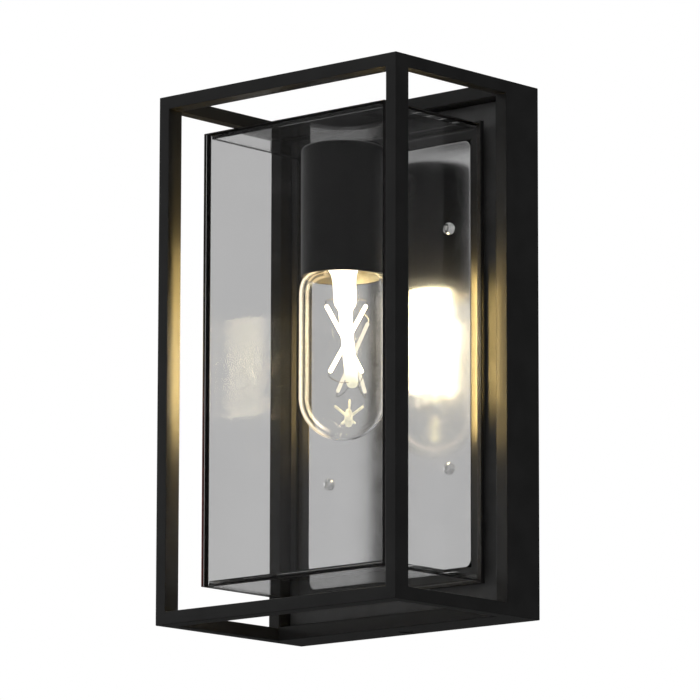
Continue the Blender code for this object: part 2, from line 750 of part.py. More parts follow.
def build_holder():
    """The ceramic lamp holder, with its threaded sleeve and centre contact."""
    ceramic = material("white_porcelain", (0.85, 0.83, 0.78), 0.35)
    profile = [
        (0, HOLDER_TOP), (HOLDER_RADIUS - 0.001, HOLDER_TOP), (HOLDER_RADIUS, HOLDER_TOP - 0.001),
        (HOLDER_RADIUS, HOLDER_BOTTOM), (HOLDER_BORE, HOLDER_BOTTOM), (HOLDER_BORE, HOLDER_CEILING),
        (0, HOLDER_CEILING),
    ]
    body = add_turned("lampholder_body", profile, ceramic, LAMP_AXIS, sides=28)
    holes = []
    for place, y in holder_screw_places():
        holes.append(cutter(f"cut_body_{place}", (0, y, HOLDER_TOP), HOLDER_SCREW_HOLE, "Z",
                            -0.0065, CUT_PAST, 12))
    for side, sx in (("left", -1), ("right", 1)):
        centre = (sx * TERMINAL_X, LAMP_AXIS_Y, HOLDER_TOP)
        holes.append(cutter(f"cut_wire_{side}", centre, WIRE_HOLE, "Z", -0.0050, CUT_PAST, 12))
    cut_from(body, *holes)

    bottom = HOLDER_BOTTOM + 0.0020
    top = HOLDER_CEILING - 0.0040
    add_threaded("screw_shell", bottom, top, THREAD_CLEARANCE, None,
                 HOLDER_BORE - GAP - 0.0002, brass(), LAMP_AXIS)

    contact_top = HOLDER_CEILING - GAP
    outline = [
        (LAMP_AXIS_Y + 0.0080, contact_top), (LAMP_AXIS_Y + 0.0080, contact_top - CONTACT_THICK),
        (LAMP_AXIS_Y + 0.0030, contact_top - CONTACT_THICK), (LAMP_AXIS_Y - 0.0030, TIP_TOP + GAP),
        (LAMP_AXIS_Y - 0.0040, TIP_TOP + GAP + CONTACT_THICK), (LAMP_AXIS_Y + 0.0020, contact_top),
    ]
    add_prism("centre_contact", outline, 0, -CONTACT_HALF_WIDTH, CONTACT_HALF_WIDTH, brass())


def add_threaded(name, bottom, top, grow, inner, outer, finish, origin):
    """A sleeve with a rounded thread on one wall.

    With inner given, the thread is on the outside; with outer given, inside.
    grow widens the thread for clearance.
    """
    rows = round((top - bottom) / THREAD_LEAD * THREAD_STEPS)
    verts = []
    thread_rings = []
    plain_rings = []
    plain = inner if inner else outer
    for row in range(rows + 1):
        z = bottom + (top - bottom) * row / rows
        thread_rings.append([])
        plain_rings.append([])
        for i in range(ROUND_THREAD):
            angle = 2 * math.pi * i / ROUND_THREAD
            phase = 2 * math.pi * z / THREAD_LEAD - angle
            radius = THREAD_MEAN + grow + THREAD_DEPTH * math.cos(phase)
            thread_rings[-1].append(len(verts))
            verts.append((origin[0] + radius * math.cos(angle), origin[1] + radius * math.sin(angle), z))
        if row in (0, rows):
            for i in range(ROUND_THREAD):
                angle = 2 * math.pi * i / ROUND_THREAD
                plain_rings[-1].append(len(verts))
                x = origin[0] + plain * math.cos(angle)
                verts.append((x, origin[1] + plain * math.sin(angle), z))
    faces = []
    for ring_a, ring_b in zip(thread_rings, thread_rings[1:]):
        bridge(faces, ring_a, ring_b)
    bridge(faces, plain_rings[0], plain_rings[-1])
    bridge(faces, thread_rings[0], plain_rings[0])
    bridge(faces, thread_rings[-1], plain_rings[-1])
    return add_mesh(name, verts, faces, finish, smooth_angle=50, centre=origin)


# ======================================================================= bulb
def envelope_outline(inset):
    """Half outline of the bulb's glass, from the pole to the neck."""
    radius = BULB_RADIUS - inset
    centre_z = BULB_BOTTOM + BULB_RADIUS
    points = [(0, BULB_BOTTOM + inset)]
    points += arc((0, centre_z), radius, -78, 0, 6)
    drop = BULB_RADIUS - SHOULDER_RIM_RADIUS
    rise = CUP_RIM_Z - SHOULDER_Z
    for i in range(5):
        t = i / 4
        points.append((radius - drop * (1 - math.sqrt(1 - t * t)), SHOULDER_Z + rise * t))
    points += [(NECK_RADIUS + 0.002 - inset, NECK_BOTTOM - 0.0015), (NECK_RADIUS - inset, NECK_BOTTOM),
               (NECK_RADIUS - inset, NECK_TOP)]
    return points


def build_bulb():
    """The tubular bulb: glass, base, stem, wires and light-emitting sticks."""
    outside = envelope_outline(0)
    inside = envelope_outline(BULB_WALL)
    add_turned("bulb_envelope", outside + inside[::-1], clear_glass(), LAMP_AXIS, sides=28)

    add_threaded("screw_cap", CAP_BOTTOM, CAP_TOP, 0.0, CAP_INNER, None, brass(), LAMP_AXIS)

    vitrite = material("black_vitrite", (0.02, 0.02, 0.025), 0.3)
    insulator = [(0, 0.0655), (CAP_INNER - GAP, 0.0655), (CAP_INNER - GAP, CAP_TOP + 0.0004),
                 (0.0050, 0.0722), (0, 0.0722)]
    add_turned("cap_insulator", insulator, vitrite, LAMP_AXIS, sides=20)
    tip = [(0, 0.0725), (0.0046, 0.0725), (0.0044, 0.0733), (0.0028, 0.0740), (0, TIP_TOP)]
    add_turned("contact_tip", tip, zinc(), LAMP_AXIS, sides=16)

    flare = NECK_RADIUS - BULB_WALL - GAP
    stem = [
        (0, 0.0520), (flare, 0.0520), (flare, 0.0490), (0.0065, 0.0440), (0.0060, 0.0270),
        (0.0036, 0.0240), (0.0034, -0.0140), (0.0022, -0.0165), (0, -0.0175),
    ]
    add_turned("bulb_stem", stem, clear_glass(), LAMP_AXIS, sides=20)

    glow = material("filament_phosphor", (1.0, 0.82, 0.50), 0.4, glow=20.0)
    for name, (sign, lean, offset, height) in STICKS.items():
        add_stick(name, sign, lean, offset, height, glow)


def add_stick(name, sign, lean, offset, height, finish):
    """One light-emitting stick, leaning across its pair's plane."""
    outward = Vector((math.cos(STICK_FACING), math.sin(STICK_FACING), 0)) * sign
    sideways = Vector((-math.sin(STICK_FACING), math.cos(STICK_FACING), 0))
    ring = STICK_RING + math.copysign(STICK_RADIUS + GAP, lean)
    middle = LAMP_AXIS + outward * ring + sideways * offset + Vector((0, 0, height))
    angle = math.radians(lean)
    along = sideways * math.sin(angle) + Vector((0, 0, math.cos(angle)))
    across = along.cross(outward).normalized()
    sides = 10
    verts = []
    rings = []
    for end in (-0.5, 0.5):
        rings.append(list(range(len(verts), len(verts) + sides)))
        for i in range(sides):
            turn = 2 * math.pi * i / sides
            spoke = outward * math.cos(turn) + across * math.sin(turn)
            verts.append(middle + along * (end * STICK_LENGTH) + spoke * STICK_RADIUS)
    faces = [tuple(rings[0]), tuple(rings[1])]
    bridge(faces, rings[0], rings[1])
    add_mesh(name, verts, faces, finish, smooth_angle=50, centre=middle)


# ====================================================== wires and terminal block
LEAD_RADIUS = 0.0010
LEAD_SPREAD = 0.0013
BLOCK_Z = 0.0300
BLOCK_HALF = (0.0150, 0.0060, 0.0085)


def smooth_path(points, steps):
    """A Catmull-Rom curve through the points."""
    ends = [points[0]] + points + [points[-1]]
    path = []
    for i in range(1, len(ends) - 2):
        p0, p1, p2, p3 = (Vector(p) for p in ends[i - 1:i + 3])
        for k in range(steps):
            t = k / steps
            path.append(0.5 * (2 * p1 + (p2 - p0) * t + (2 * p0 - 5 * p1 + 4 * p2 - p3) * t ** 2
                               + (3 * p1 - p0 - 3 * p2 + p3) * t ** 3))
    path.append(Vector(points[-1]))
    return path


def add_lead(name, points, finish):
    """An insulated wire."""
    curve = bpy.data.curves.new(name, "CURVE")
    curve.dimensions = "3D"
    curve.bevel_depth = LEAD_RADIUS
    curve.bevel_resolution = 1
    curve.use_fill_caps = True
    path = smooth_path(points, 3)
    spline = curve.splines.new("POLY")
    spline.points.add(len(path) - 1)
    for point, place in zip(spline.points, path):
        point.co = (*place, 1)
    curve.materials.append(finish)
    obj = bpy.data.objects.new(name, curve)
    bpy.context.scene.collection.objects.link(obj)
    return obj


def build_wiring():
    """Terminal block in the raised field and the leads to the lamp holder and the earth."""
    front = PLATEAU_FRONT + SHEET + GAP
    centre_y = front + BLOCK_HALF[1]
    white = material("white_nylon", (0.80, 0.80, 0.76), 0.5)
    x, y, z = BLOCK_HALF
    add_box("terminal_block", (-x, centre_y - y, BLOCK_Z - z), (x, centre_y + y, BLOCK_Z + z), white)
    colours = {"left": ("neutral_lead", (0.75, 0.75, 0.72)), "right": ("live_lead", (0.02, 0.02, 0.02))}
    for side, sx in (("left", -1), ("right", 1)):
        name, colour = colours[side]
        spread = sx * LEAD_SPREAD
        route = [
            (sx * 0.0060, centre_y, BLOCK_Z + z + GAP),
            (sx * 0.0060, centre_y, 0.0600),
            (sx * 0.0045, -0.0120, 0.0820),
            (spread, -0.0135, ARM_Z - 0.0020),
            (spread, -0.0190, ARM_Z),
            (spread, -0.0300, ARM_Z),
            (spread, -0.0450, ARM_Z),
            (spread, -0.0510, ARM_Z - 0.0005),
            (sx * 0.0072, -0.0570, 0.0960),
            (sx * TERMINAL_X, LAMP_AXIS_Y, 0.0900),
            (sx * TERMINAL_X, LAMP_AXIS_Y, 0.0825),
        ]
        add_lead(name, route, material(f"{name}_insulation", colour, 0.5))
    x, z = GROUND_SCREW_PLACE
    earth = [
        (0.0050, -0.0040, z),
        (0.0120, -0.0050, z + 0.004),
        (0.0220, -0.0090, z + 0.008),
        (0.0260, -0.0130, BLOCK_Z),
        (0.0220, -0.0150, BLOCK_Z),
        (BLOCK_HALF[0] + GAP, centre_y, BLOCK_Z),
    ]
    add_lead("earth_lead", earth, material("green_insulation", (0.05, 0.35, 0.12), 0.5))


# ==================================================================== assembly
def clear_scene():
    for obj in list(bpy.data.objects):
        bpy.data.objects.remove(obj, do_unlink=True)


def add_joint_empty(name, place, children):
    """An empty on a joint's axis that carries the pieces which move with it."""
    empty = bpy.data.objects.new(name, None)
    empty.location = place
    bpy.context.scene.collection.objects.link(empty)
    for child in children:
        obj = bpy.data.objects[child]
        obj.parent = empty
        obj.matrix_parent_inverse = Matrix.Translation(place).inverted()
    return empty


def main():
    clear_scene()
    build_bracket()
    build_ground_screw()
    build_gasket()
    build_back_box()
    rim = build_rim()
    build_fixing_screws(rim)
    build_front_frame()
    build_side_rails()
    build_mirror()
    build_clips()
    build_arm()
    build_cup()
    build_holder_strap()
    build_holder()
    build_wiring()
    build_shade_frame()
    build_panes()
    build_seal()
    build_bulb()
    add_joint_empty("shade_slide", Vector((0, SHADE_FACE, 0)), [
        "shade_frame_left", "shade_frame_right", "shade_frame_top", "shade_frame_bottom",
        "pane_front", "pane_left", "pane_right", "pane_top", "pane_bottom", "shade_seal",
    ])
    add_joint_empty("bulb_axis", LAMP_AXIS, [
        "bulb_envelope", "screw_cap", "cap_insulator", "contact_tip", "bulb_stem",
        "filament_front_a", "filament_front_b", "filament_back_a", "filament_back_b",
    ])


main()
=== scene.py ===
"""Outdoor wall lantern with a smoked glass box, a mirror plate and a clear tubular bulb.

Metres, +Z up. The lantern faces -Y and its wall face lies at y = 0.
"""

import json
import math

import bmesh
import bpy
from mathutils import Matrix, Vector

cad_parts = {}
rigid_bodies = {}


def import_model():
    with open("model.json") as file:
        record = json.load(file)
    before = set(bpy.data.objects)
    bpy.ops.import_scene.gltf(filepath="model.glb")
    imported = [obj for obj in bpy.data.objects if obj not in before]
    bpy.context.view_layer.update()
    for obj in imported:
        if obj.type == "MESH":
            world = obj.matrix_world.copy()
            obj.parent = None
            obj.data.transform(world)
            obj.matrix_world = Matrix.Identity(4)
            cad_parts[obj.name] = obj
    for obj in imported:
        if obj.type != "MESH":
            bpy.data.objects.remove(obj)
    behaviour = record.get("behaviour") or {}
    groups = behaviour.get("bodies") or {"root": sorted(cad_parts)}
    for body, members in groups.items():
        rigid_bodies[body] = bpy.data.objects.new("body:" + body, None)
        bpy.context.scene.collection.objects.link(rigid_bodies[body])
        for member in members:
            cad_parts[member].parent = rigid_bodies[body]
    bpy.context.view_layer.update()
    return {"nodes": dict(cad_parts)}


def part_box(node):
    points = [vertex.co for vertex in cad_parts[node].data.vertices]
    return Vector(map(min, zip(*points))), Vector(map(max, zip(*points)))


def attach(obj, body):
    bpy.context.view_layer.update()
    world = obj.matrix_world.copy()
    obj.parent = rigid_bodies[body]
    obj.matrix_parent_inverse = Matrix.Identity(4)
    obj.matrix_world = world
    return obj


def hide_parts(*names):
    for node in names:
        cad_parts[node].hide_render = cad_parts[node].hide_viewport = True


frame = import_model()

NODES = frame["nodes"]

# ------------------------------------------------------------------ dimensions
HALF_W = 0.0825                 # over the cage
HALF_H = 0.1400
SHEET = 0.0012                  # steel sheet of the rim and the shade's frame
RIM_FACE = 0.0075               # width of the wall rim's front
RIM_FRONT = -0.0258
RIM_INNER_REAR = -0.0020
SHADE_FACE = -0.0238            # front of the frame that carries the glass
SHADE_REAR = -0.0181
SHADE_HALF = (0.0645, 0.1215)
SHADE_OPENING = (0.0555, 0.1125)
SKIRT_INSET = 0.0040            # the frame's skirt, inside its edge
BOND_LINE = 0.0011              # width of the adhesive lines
LAMP_Y = -0.0594                # axis of the cup and the bulb
CUP_RADIUS = 0.0219
CUP_WALL = 0.0015
CUP_BOTTOM = 0.0411
CUP_TOP = 0.1102
ARM_Z = 0.0970
ARM_HOLE = 0.0053               # radius of the arm's hole in the mirror and in the cup
BULB_RADIUS = 0.0228
BULB_BOTTOM = -0.0451
BULB_WALL = 0.0008
SHOULDER_Z = 0.0315
SHOULDER_RIM = 0.0190
NECK_RADIUS = 0.0111
NECK_TOP = 0.0530
STICK_RADIUS = 0.0010
STICK_LENGTH = 0.0405
STICK_RING = 0.0072             # distance of the sticks from the bulb's axis
STICK_FACING = math.radians(-48.5)
OUTWARD = Vector((math.cos(STICK_FACING), math.sin(STICK_FACING), 0))
SIDEWAYS = Vector((-math.sin(STICK_FACING), math.cos(STICK_FACING), 0))
# side of the stem, lean in degrees, sideways offset and height of the middle
STICKS = {
    "front_a": (1, 28.0, 0.00270, 0.0070),
    "front_b": (1, -28.0, 0.00075, 0.0074),
    "back_a": (-1, 23.5, 0.00515, 0.0002),
    "back_b": (-1, -16.0, 0.00620, 0.0002),
}
WIRE_RADIUS = 0.00016
LEAN_TOP, LEAN_LENGTH = 0.0450, 0.0600    # the part of the stem that is bent
LEAN_ALONG, LEAN_AT_END = 0.0022, 0.0028
LEAN_END_START = 0.62           # where the sharper bend starts, as a share of that length
# painted reflection of the sticks in the bulb's round end, drawn as a glowing shape
IMAGE_Z = -0.0330               # the sticks' image in the bulb's round end
IMAGE_SHIFT = 0.0031
# sideways reach, rise and radius of each arm of that image
IMAGE_ARMS = [(-0.0068, 0.0058, 0.00075), (0.0072, 0.0056, 0.00075), (0.0006, 0.0092, 0.00060),
              (-0.0036, -0.0032, 0.00065), (0.0032, -0.0028, 0.00065)]
SCREWS = ["mirror_screw_lower_left", "mirror_screw_lower_right", "mirror_screw_upper_left",
          "mirror_screw_upper_right"]

# ------------------------------------------------------------ light and camera
LAMPLIGHT = (1.0, 0.70, 0.24)
# place and target on the right side, width and height, and spread in degrees
FRAME_LAMPS = {
    "post": ((0.030, -0.062, 0.018), (0.0756, -0.1080, 0.018), (0.006, 0.084), 180),
    "tray": ((0.050, -0.043, 0.001), (0.0605, -0.0238, 0.001), (0.004, 0.084), 115),
    "groove": ((0.0686, -0.0420, 0.003), (0.0670, -0.0178, 0.003), (0.004, 0.062), 76),
}
FRAME_LAMP_WATTS = {
    "right": {"post": 0.22, "tray": 0.128, "groove": 0.021},
    "left": {"post": 0.56, "tray": 0.064, "groove": 0.0105},
}
ROOM_TONES = (0.080, 0.125)     # the room that glossy surfaces see, dim side and light side
ROOM_LIGHT_SIDE = (-0.42, -0.86, 0.28)
FLOOR_LEVEL = -1.0
FLOOR_HALF = 14.0
CAMERA_PLACE = (1.9415, -2.2459, -0.5239)
CAMERA_LENS = 293.96
CAMERA_AZIMUTH = math.radians(41.54)
CAMERA_ELEVATION = math.radians(10.21)
CAMERA_ROLL = math.radians(0.127)
# the side of the bulb that its painted highlight lines keep to
PICTURE_RIGHT = (0.749, 0.663, 0.0)


# ================================================================== materials
class Look:
    """A procedural material: a Principled shader fed by noise in object space."""

    def __init__(self, name):
        self.mat = bpy.data.materials.new(name)
        self.mat.use_nodes = True
        self.tree = self.mat.node_tree
        self.shader = self.tree.nodes["Principled BSDF"]
        self.out = self.tree.nodes["Material Output"]
        self.place = self.tree.nodes.new("ShaderNodeTexCoord").outputs["Object"]

    def node(self, kind, **settings):
        made = self.tree.nodes.new(kind)
        for key, value in settings.items():
            setattr(made, key, value)
        return made

    def link(self, a, b):
        self.tree.links.new(a, b)

    def noise(self, scale, detail=3.0, stretch=(1, 1, 1)):
        """Noise with features of 1 / scale metres."""
        source = self.place
        if stretch != (1, 1, 1):
            mapping = self.node("ShaderNodeMapping")
            mapping.inputs["Scale"].default_value = stretch
            self.link(source, mapping.inputs["Vector"])
            source = mapping.outputs["Vector"]
        made = self.node("ShaderNodeTexNoise")
        made.inputs["Scale"].default_value = scale
        made.inputs["Detail"].default_value = detail
        self.link(source, made.inputs["Vector"])
        return made.outputs["Fac"]

    def spread(self, fac, low, high, start=0.3, end=0.7):
        """Takes start to end onto low to high, and holds the ends."""
        made = self.node("ShaderNodeMapRange")
        made.inputs["From Min"].default_value = start
        made.inputs["From Max"].default_value = end
        made.inputs["To Min"].default_value = low
        made.inputs["To Max"].default_value = high
        self.link(fac, made.inputs["Value"])
        return made.outputs["Result"]

    def ramp(self, fac, *stops):
        made = self.node("ShaderNodeValToRGB")
        ramp = made.color_ramp
        while len(ramp.elements) < len(stops):
            ramp.elements.new(0.5)
        for element, (position, colour) in zip(ramp.elements, stops):
            element.position = position
            element.color = (*colour, 1)
        self.link(fac, made.inputs["Fac"])
        return made.outputs["Color"]

    def combine(self, operation, a, b):
        made = self.node("ShaderNodeMath", operation=operation)
        self.link(a, made.inputs[0])
        self.link(b, made.inputs[1])
        return made.outputs[0]

    def height(self):
        split = self.node("ShaderNodeSeparateXYZ")
        self.link(self.place, split.inputs["Vector"])
        return split.outputs["Z"]

    def bump(self, fac, distance, below=None):
        made = self.node("ShaderNodeBump")
        made.inputs["Strength"].default_value = 1.0
        made.inputs["Distance"].default_value = distance
        self.link(fac, made.inputs["Height"])
        if below:
            self.link(below, made.inputs["Normal"])
        return made.outputs["Normal"]

    def set(self, **sockets):
        for key, value in sockets.items():
            self.shader.inputs[key.replace("_", " ")].default_value = value

    def feed(self, key, output):
        self.link(output, self.shader.inputs[key])


def drifting_look(name, dark, light, cloud, rough, grain, depth, stretch=(1, 1, 1), **sockets):
    """Colour that drifts between two tones, uneven gloss and a fine grain."""
    look = Look(name)
    look.feed("Base Color", look.ramp(look.noise(cloud, 4.0), (0.32, dark), (0.68, light)))
    look.feed("Roughness", look.spread(look.noise(grain * 0.3, 3.0, stretch), *rough))
    look.feed("Normal", look.bump(look.noise(grain, 2.0, stretch), depth))
    look.set(**sockets)
    return look


def plain_look(*facts, **sockets):
    """The material alone, for finishes that need nothing more."""
    return drifting_look(*facts, **sockets).mat


def powder_coat(name, tone, gloss):
    """Satin black powder coat: fine orange peel under a finer grain."""
    look = Look(name)
    look.feed("Base Color", look.ramp(look.noise(70.0, 5.0), (0.30, [tone * 0.8] * 3),
                                      (0.70, [tone * 1.2] * 3)))
    look.feed("Roughness", look.spread(look.noise(900.0, 3.0), 0.32, 0.40))
    peel = look.bump(look.noise(620.0, 2.0), 0.0000009)
    look.feed("Normal", look.bump(look.noise(2600.0, 2.0), 0.0000005, below=peel))
    look.set(Specular_IOR_Level=gloss)
    return look.mat


def mirror_steel():
    """Satin-polished steel: a blurred mirror with faint upright polishing lines."""
    look = Look("satin_mirror_steel")
    look.feed("Base Color", look.ramp(look.noise(25.0, 4.0), (0.30, (0.955, 0.955, 0.96)),
                                      (0.70, (0.995, 0.995, 0.995))))
    look.feed("Roughness", look.spread(look.noise(60.0, 5.0), 0.13, 0.18))
    look.feed("Normal", look.bump(look.noise(900.0, 3.0, (1.0, 1.0, 0.02)), 0.0000006))
    look.set(Metallic=1.0)
    return look.mat


def glass_look(name, dark, light, cloud, wave, depth, shade, ior):
    """Clear or tinted glass. Rays from lamps and rays that gather soft light pass straight on."""
    look = Look(name)
    look.feed("Base Color", look.ramp(look.noise(cloud, 3.0), (0.25, dark), (0.75, light)))
    look.feed("Normal", look.bump(look.noise(wave, 1.0), depth))
    look.set(Roughness=0.0, IOR=ior, Transmission_Weight=1.0)
    straight = look.node("ShaderNodeBsdfTransparent")
    straight.inputs["Color"].default_value = shade
    path = look.node("ShaderNodeLightPath").outputs
    either = look.combine("MAXIMUM", path["Is Shadow Ray"], path["Is Diffuse Ray"])
    mix = look.node("ShaderNodeMixShader")
    look.link(either, mix.inputs["Fac"])
    look.link(look.shader.outputs["BSDF"], mix.inputs[1])
    look.link(straight.outputs["BSDF"], mix.inputs[2])
    look.link(mix.outputs["Shader"], look.out.inputs["Surface"])
    return look


def smoked_glass():
    return glass_look("smoked_glass", (0.668, 0.668, 0.668), (0.682, 0.682, 0.682), 14.0, 18.0,
                      0.0000010, (0.80, 0.80, 0.80, 1), 1.20).mat


def bulb_glass():
    """Thin clear glass, with painted highlights: an emission glow along its edges and two bright
    lines up one side.
    """
    look = glass_look("clear_bulb_glass", (0.965, 0.965, 0.96), (0.99, 0.99, 0.985), 40.0, 60.0,
                      0.000010, (0.97, 0.97, 0.97, 1), 1.17)
    # painted highlight: glow by facing, along the edges and as two lines on one side
    facing = look.node("ShaderNodeLayerWeight").outputs["Facing"]
    edge = look.spread(facing, 0.0, 1.0, 0.79, 0.86)
    line_start = look.spread(facing, 0.0, 1.0, 0.39, 0.43)
    line_end = look.spread(facing, 1.0, 0.0, 0.480, 0.512)
    sideways = look.node("ShaderNodeVectorMath", operation="DOT_PRODUCT")
    sideways.inputs[1].default_value = PICTURE_RIGHT
    look.link(look.place, sideways.inputs[0])
    across = sideways.outputs["Value"]
    line_side = look.spread(across, 1.0, 0.0, -0.0500, -0.0450)
    line = look.combine("MULTIPLY", look.combine("MULTIPLY", line_start, line_end), line_side)
    edge_side = look.spread(across, 1.0, 0.0, -0.0520, -0.0440)
    straight_part = look.spread(look.height(), 0.0, 1.0, -0.0290, -0.0200)
    edge = look.combine("MULTIPLY", edge, look.combine("MAXIMUM", edge_side, straight_part))
    look.feed("Emission Color", look.ramp(look.combine("MAXIMUM", edge, line), (0.0, (0, 0, 0)),
                                          (1.0, (1.0, 0.82, 0.55))))
    look.set(Emission_Strength=0.66)
    return look.mat


def bond_look(name, dark, light):
    return plain_look(name, dark, light, 300.0, (0.35, 0.60), 1200.0, 0.00003)


def red_bond():
    """Adhesive that is black at the top and dark red-brown towards the bottom."""
    look = Look("dark_red_bond")
    look.feed("Base Color", look.ramp(look.spread(look.height(), 1.0, 0.0, -0.075, 0.010),
                                      (0.0, (0.010, 0.009, 0.008)), (1.0, (0.110, 0.022, 0.020))))
    look.feed("Roughness", look.spread(look.noise(300.0, 3.0), 0.35, 0.60))
    look.feed("Normal", look.bump(look.noise(1200.0, 2.0), 0.00003))
    return look.mat


def glow_look(name, colour, strength, base, base_light=(1, 0.9, 0.6), **sockets):
    """A lit phosphor, or a painted glow, a little uneven along its length."""
    look = Look(name)
    look.feed("Base Color", look.ramp(look.noise(300.0, 2.0), (0.3, base), (0.7, base_light)))
    hot = [c * 0.92 for c in colour]
    look.feed("Emission Color", look.ramp(look.noise(500.0, 3.0), (0.35, hot), (0.65, colour)))
    look.set(Emission_Strength=strength, Roughness=0.5, **sockets)
    return look.mat


def stem_look():
    """Stem glass with a painted glow: bright under the cap, creamy at its lower end."""
    look = Look("stem_painted_glow")
    look.feed("Base Color", look.ramp(look.noise(300.0, 2.0), (0.3, (0.8, 0.8, 0.7)),
                                      (0.7, (0.9, 0.9, 0.86))))
    # painted glow, stronger towards the top
    look.feed("Emission Color", look.ramp(look.spread(look.height(), 0.0, 1.0, -0.012, 0.010),
                                          (0.0, (0.27, 0.26, 0.19)), (1.0, (1.0, 0.93, 0.80))))
    look.set(Emission_Strength=3.0, Roughness=0.5)
    return look.mat


BLACK = powder_coat("satin_black_coat", 0.0076, 0.5)
# painted shade: a darker, less glossy copy of the black coat, for the cup
BLACK_PAINTED_SHADE = powder_coat("black_coat_painted_shade", 0.0052, 0.17)
# painted light: a much lighter copy of the black coat for the back box, to lift its shaded groove
# floor
BLACK_BOX_PAINTED_LIGHT = powder_coat("box_coat_painted_light", 0.0550, 0.5)
MIRROR = mirror_steel()
ZINC = plain_look("zinc_plate", (0.52, 0.52, 0.50), (0.72, 0.72, 0.70), 260.0, (0.22, 0.34),
                  1900.0, 0.000006, Metallic=1.0)
BRIGHT_ZINC = plain_look("bright_zinc", (0.80, 0.80, 0.79), (0.94, 0.94, 0.93), 260.0,
                         (0.10, 0.18), 1900.0, 0.000003, Metallic=1.0)
BRASS = plain_look("turned_brass", (0.58, 0.40, 0.16), (0.74, 0.54, 0.26), 180.0, (0.20, 0.34),
                   1500.0, 0.000006, (1.0, 1.0, 6.0), Metallic=1.0)
SMOKE = smoked_glass()
CLEAR = bulb_glass()
BOND = bond_look("black_bond", (0.006, 0.005, 0.005), (0.016, 0.013, 0.012))
BOND_RED = red_bond()
SEALANT = bond_look("black_sealant", (0.006, 0.006, 0.006), (0.014, 0.014, 0.014))
FOAM = plain_look("grey_foam", (0.030, 0.030, 0.030), (0.075, 0.075, 0.072), 900.0, (0.80, 0.95),
                  1400.0, 0.00018)
PORCELAIN = plain_look("glazed_porcelain", (0.76, 0.73, 0.67), (0.86, 0.84, 0.79), 60.0,
                       (0.12, 0.24), 160.0, 0.00003, Coat_Weight=0.4)
VITRITE = plain_look("black_vitrite", (0.010, 0.010, 0.014), (0.030, 0.028, 0.036), 400.0,
                     (0.10, 0.25), 700.0, 0.00002)
NYLON = plain_look("white_nylon", (0.68, 0.68, 0.64), (0.80, 0.80, 0.76), 160.0, (0.40, 0.55),
                   1200.0, 0.00002, Subsurface_Weight=0.1, Subsurface_Scale=0.001)
GREEN = plain_look("green_zinc", (0.03, 0.22, 0.08), (0.07, 0.34, 0.14), 300.0, (0.25, 0.40),
                   1600.0, 0.000008, Metallic=0.7)
LEAD_LOOKS = {
    "live_lead": plain_look("black_insulation", (0.012, 0.012, 0.012), (0.030, 0.030, 0.030),
                            300.0, (0.40, 0.55), 2200.0, 0.00001),
    "neutral_lead": plain_look("white_insulation", (0.66, 0.66, 0.63), (0.78, 0.78, 0.75),
                               300.0, (0.40, 0.55), 2200.0, 0.00001),
    "earth_lead": plain_look("green_insulation", (0.03, 0.26, 0.09), (0.06, 0.36, 0.13),
                             300.0, (0.40, 0.55), 2200.0, 0.00001),
}
PHOSPHOR = glow_look("lit_phosphor", (1.0, 0.84, 0.52), 36.0, (1.0, 0.78, 0.35))
# painted shade: a far dimmer copy of the lit phosphor for the sticks at the back, nearly black so
# the lamps leave it dark
PHOSPHOR_PAINTED_SHADE = glow_look("phosphor_painted_shade", (0.86, 0.79, 0.64), 1.9, (0.0016, 0.0013, 0.0008),
                          (0.0022, 0.0018, 0.0010), Specular_IOR_Level=0.0)
# painted reflection: the sticks' small image in the bulb's round end, as a glow
END_PAINTED_REFLECTION = glow_look("painted_reflection_glow", (0.92, 0.89, 0.72), 1.05, (0.02, 0.02, 0.02))
# painted glow on the stem glass, which is no lamp
STEM_PAINTED_GLOW = stem_look()
# a gold liner inside the cup; its gold tone is painted glow of the warm lamplight
LINER_PAINTED_GLOW = plain_look("gold_liner_painted_glow", (0.098, 0.088, 0.063), (0.126, 0.113, 0.083), 120.0, (0.30, 0.42),
                   900.0, 0.00001, (1.0, 1.0, 5.0), Metallic=0.6)
WIRE = plain_look("nickel_wire", (0.20, 0.18, 0.16), (0.30, 0.28, 0.25), 400.0, (0.20, 0.35),
                  2500.0, 0.000004, Metallic=1.0)


# =============================================================== mesh builders
def add_object(name, mesh, body, slot, *materials):
    """A visible piece that rides on a body and takes the materials given; the slot is not used."""
    obj = bpy.data.objects.new(name, mesh)
    bpy.context.scene.collection.objects.link(obj)
    for mat in materials:
        mesh.materials.append(mat)
    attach(obj, body)
    return obj


def from_bmesh(name, work, smooth_angle=40):
    """A mesh that shades smooth up to an angle in degrees and keeps sharper edges."""
    bmesh.ops.recalc_face_normals(work, faces=work.faces)
    mesh = bpy.data.meshes.new(name)
    work.to_mesh(mesh)
    work.free()
    mesh.shade_smooth()
    mesh.set_sharp_from_angle(angle=math.radians(smooth_angle))
    return mesh


def keep_flats(obj):
    """Shades large flat faces flat and leaves the soft edges round."""
    step = obj.modifiers.new("flat_faces", "WEIGHTED_NORMAL")
    step.keep_sharp = True


def bevel_sharp(work, width, segments):
    """Rounds every edge sharper than 30 degrees."""
    limit = math.radians(30)
    edges = [e for e in work.edges if len(e.link_faces) == 2 and e.calc_face_angle() > limit]
    bmesh.ops.bevel(work, geom=edges, offset=width, offset_type="OFFSET", segments=segments,
                    profile=0.5, affect="EDGES", clamp_overlap=True)


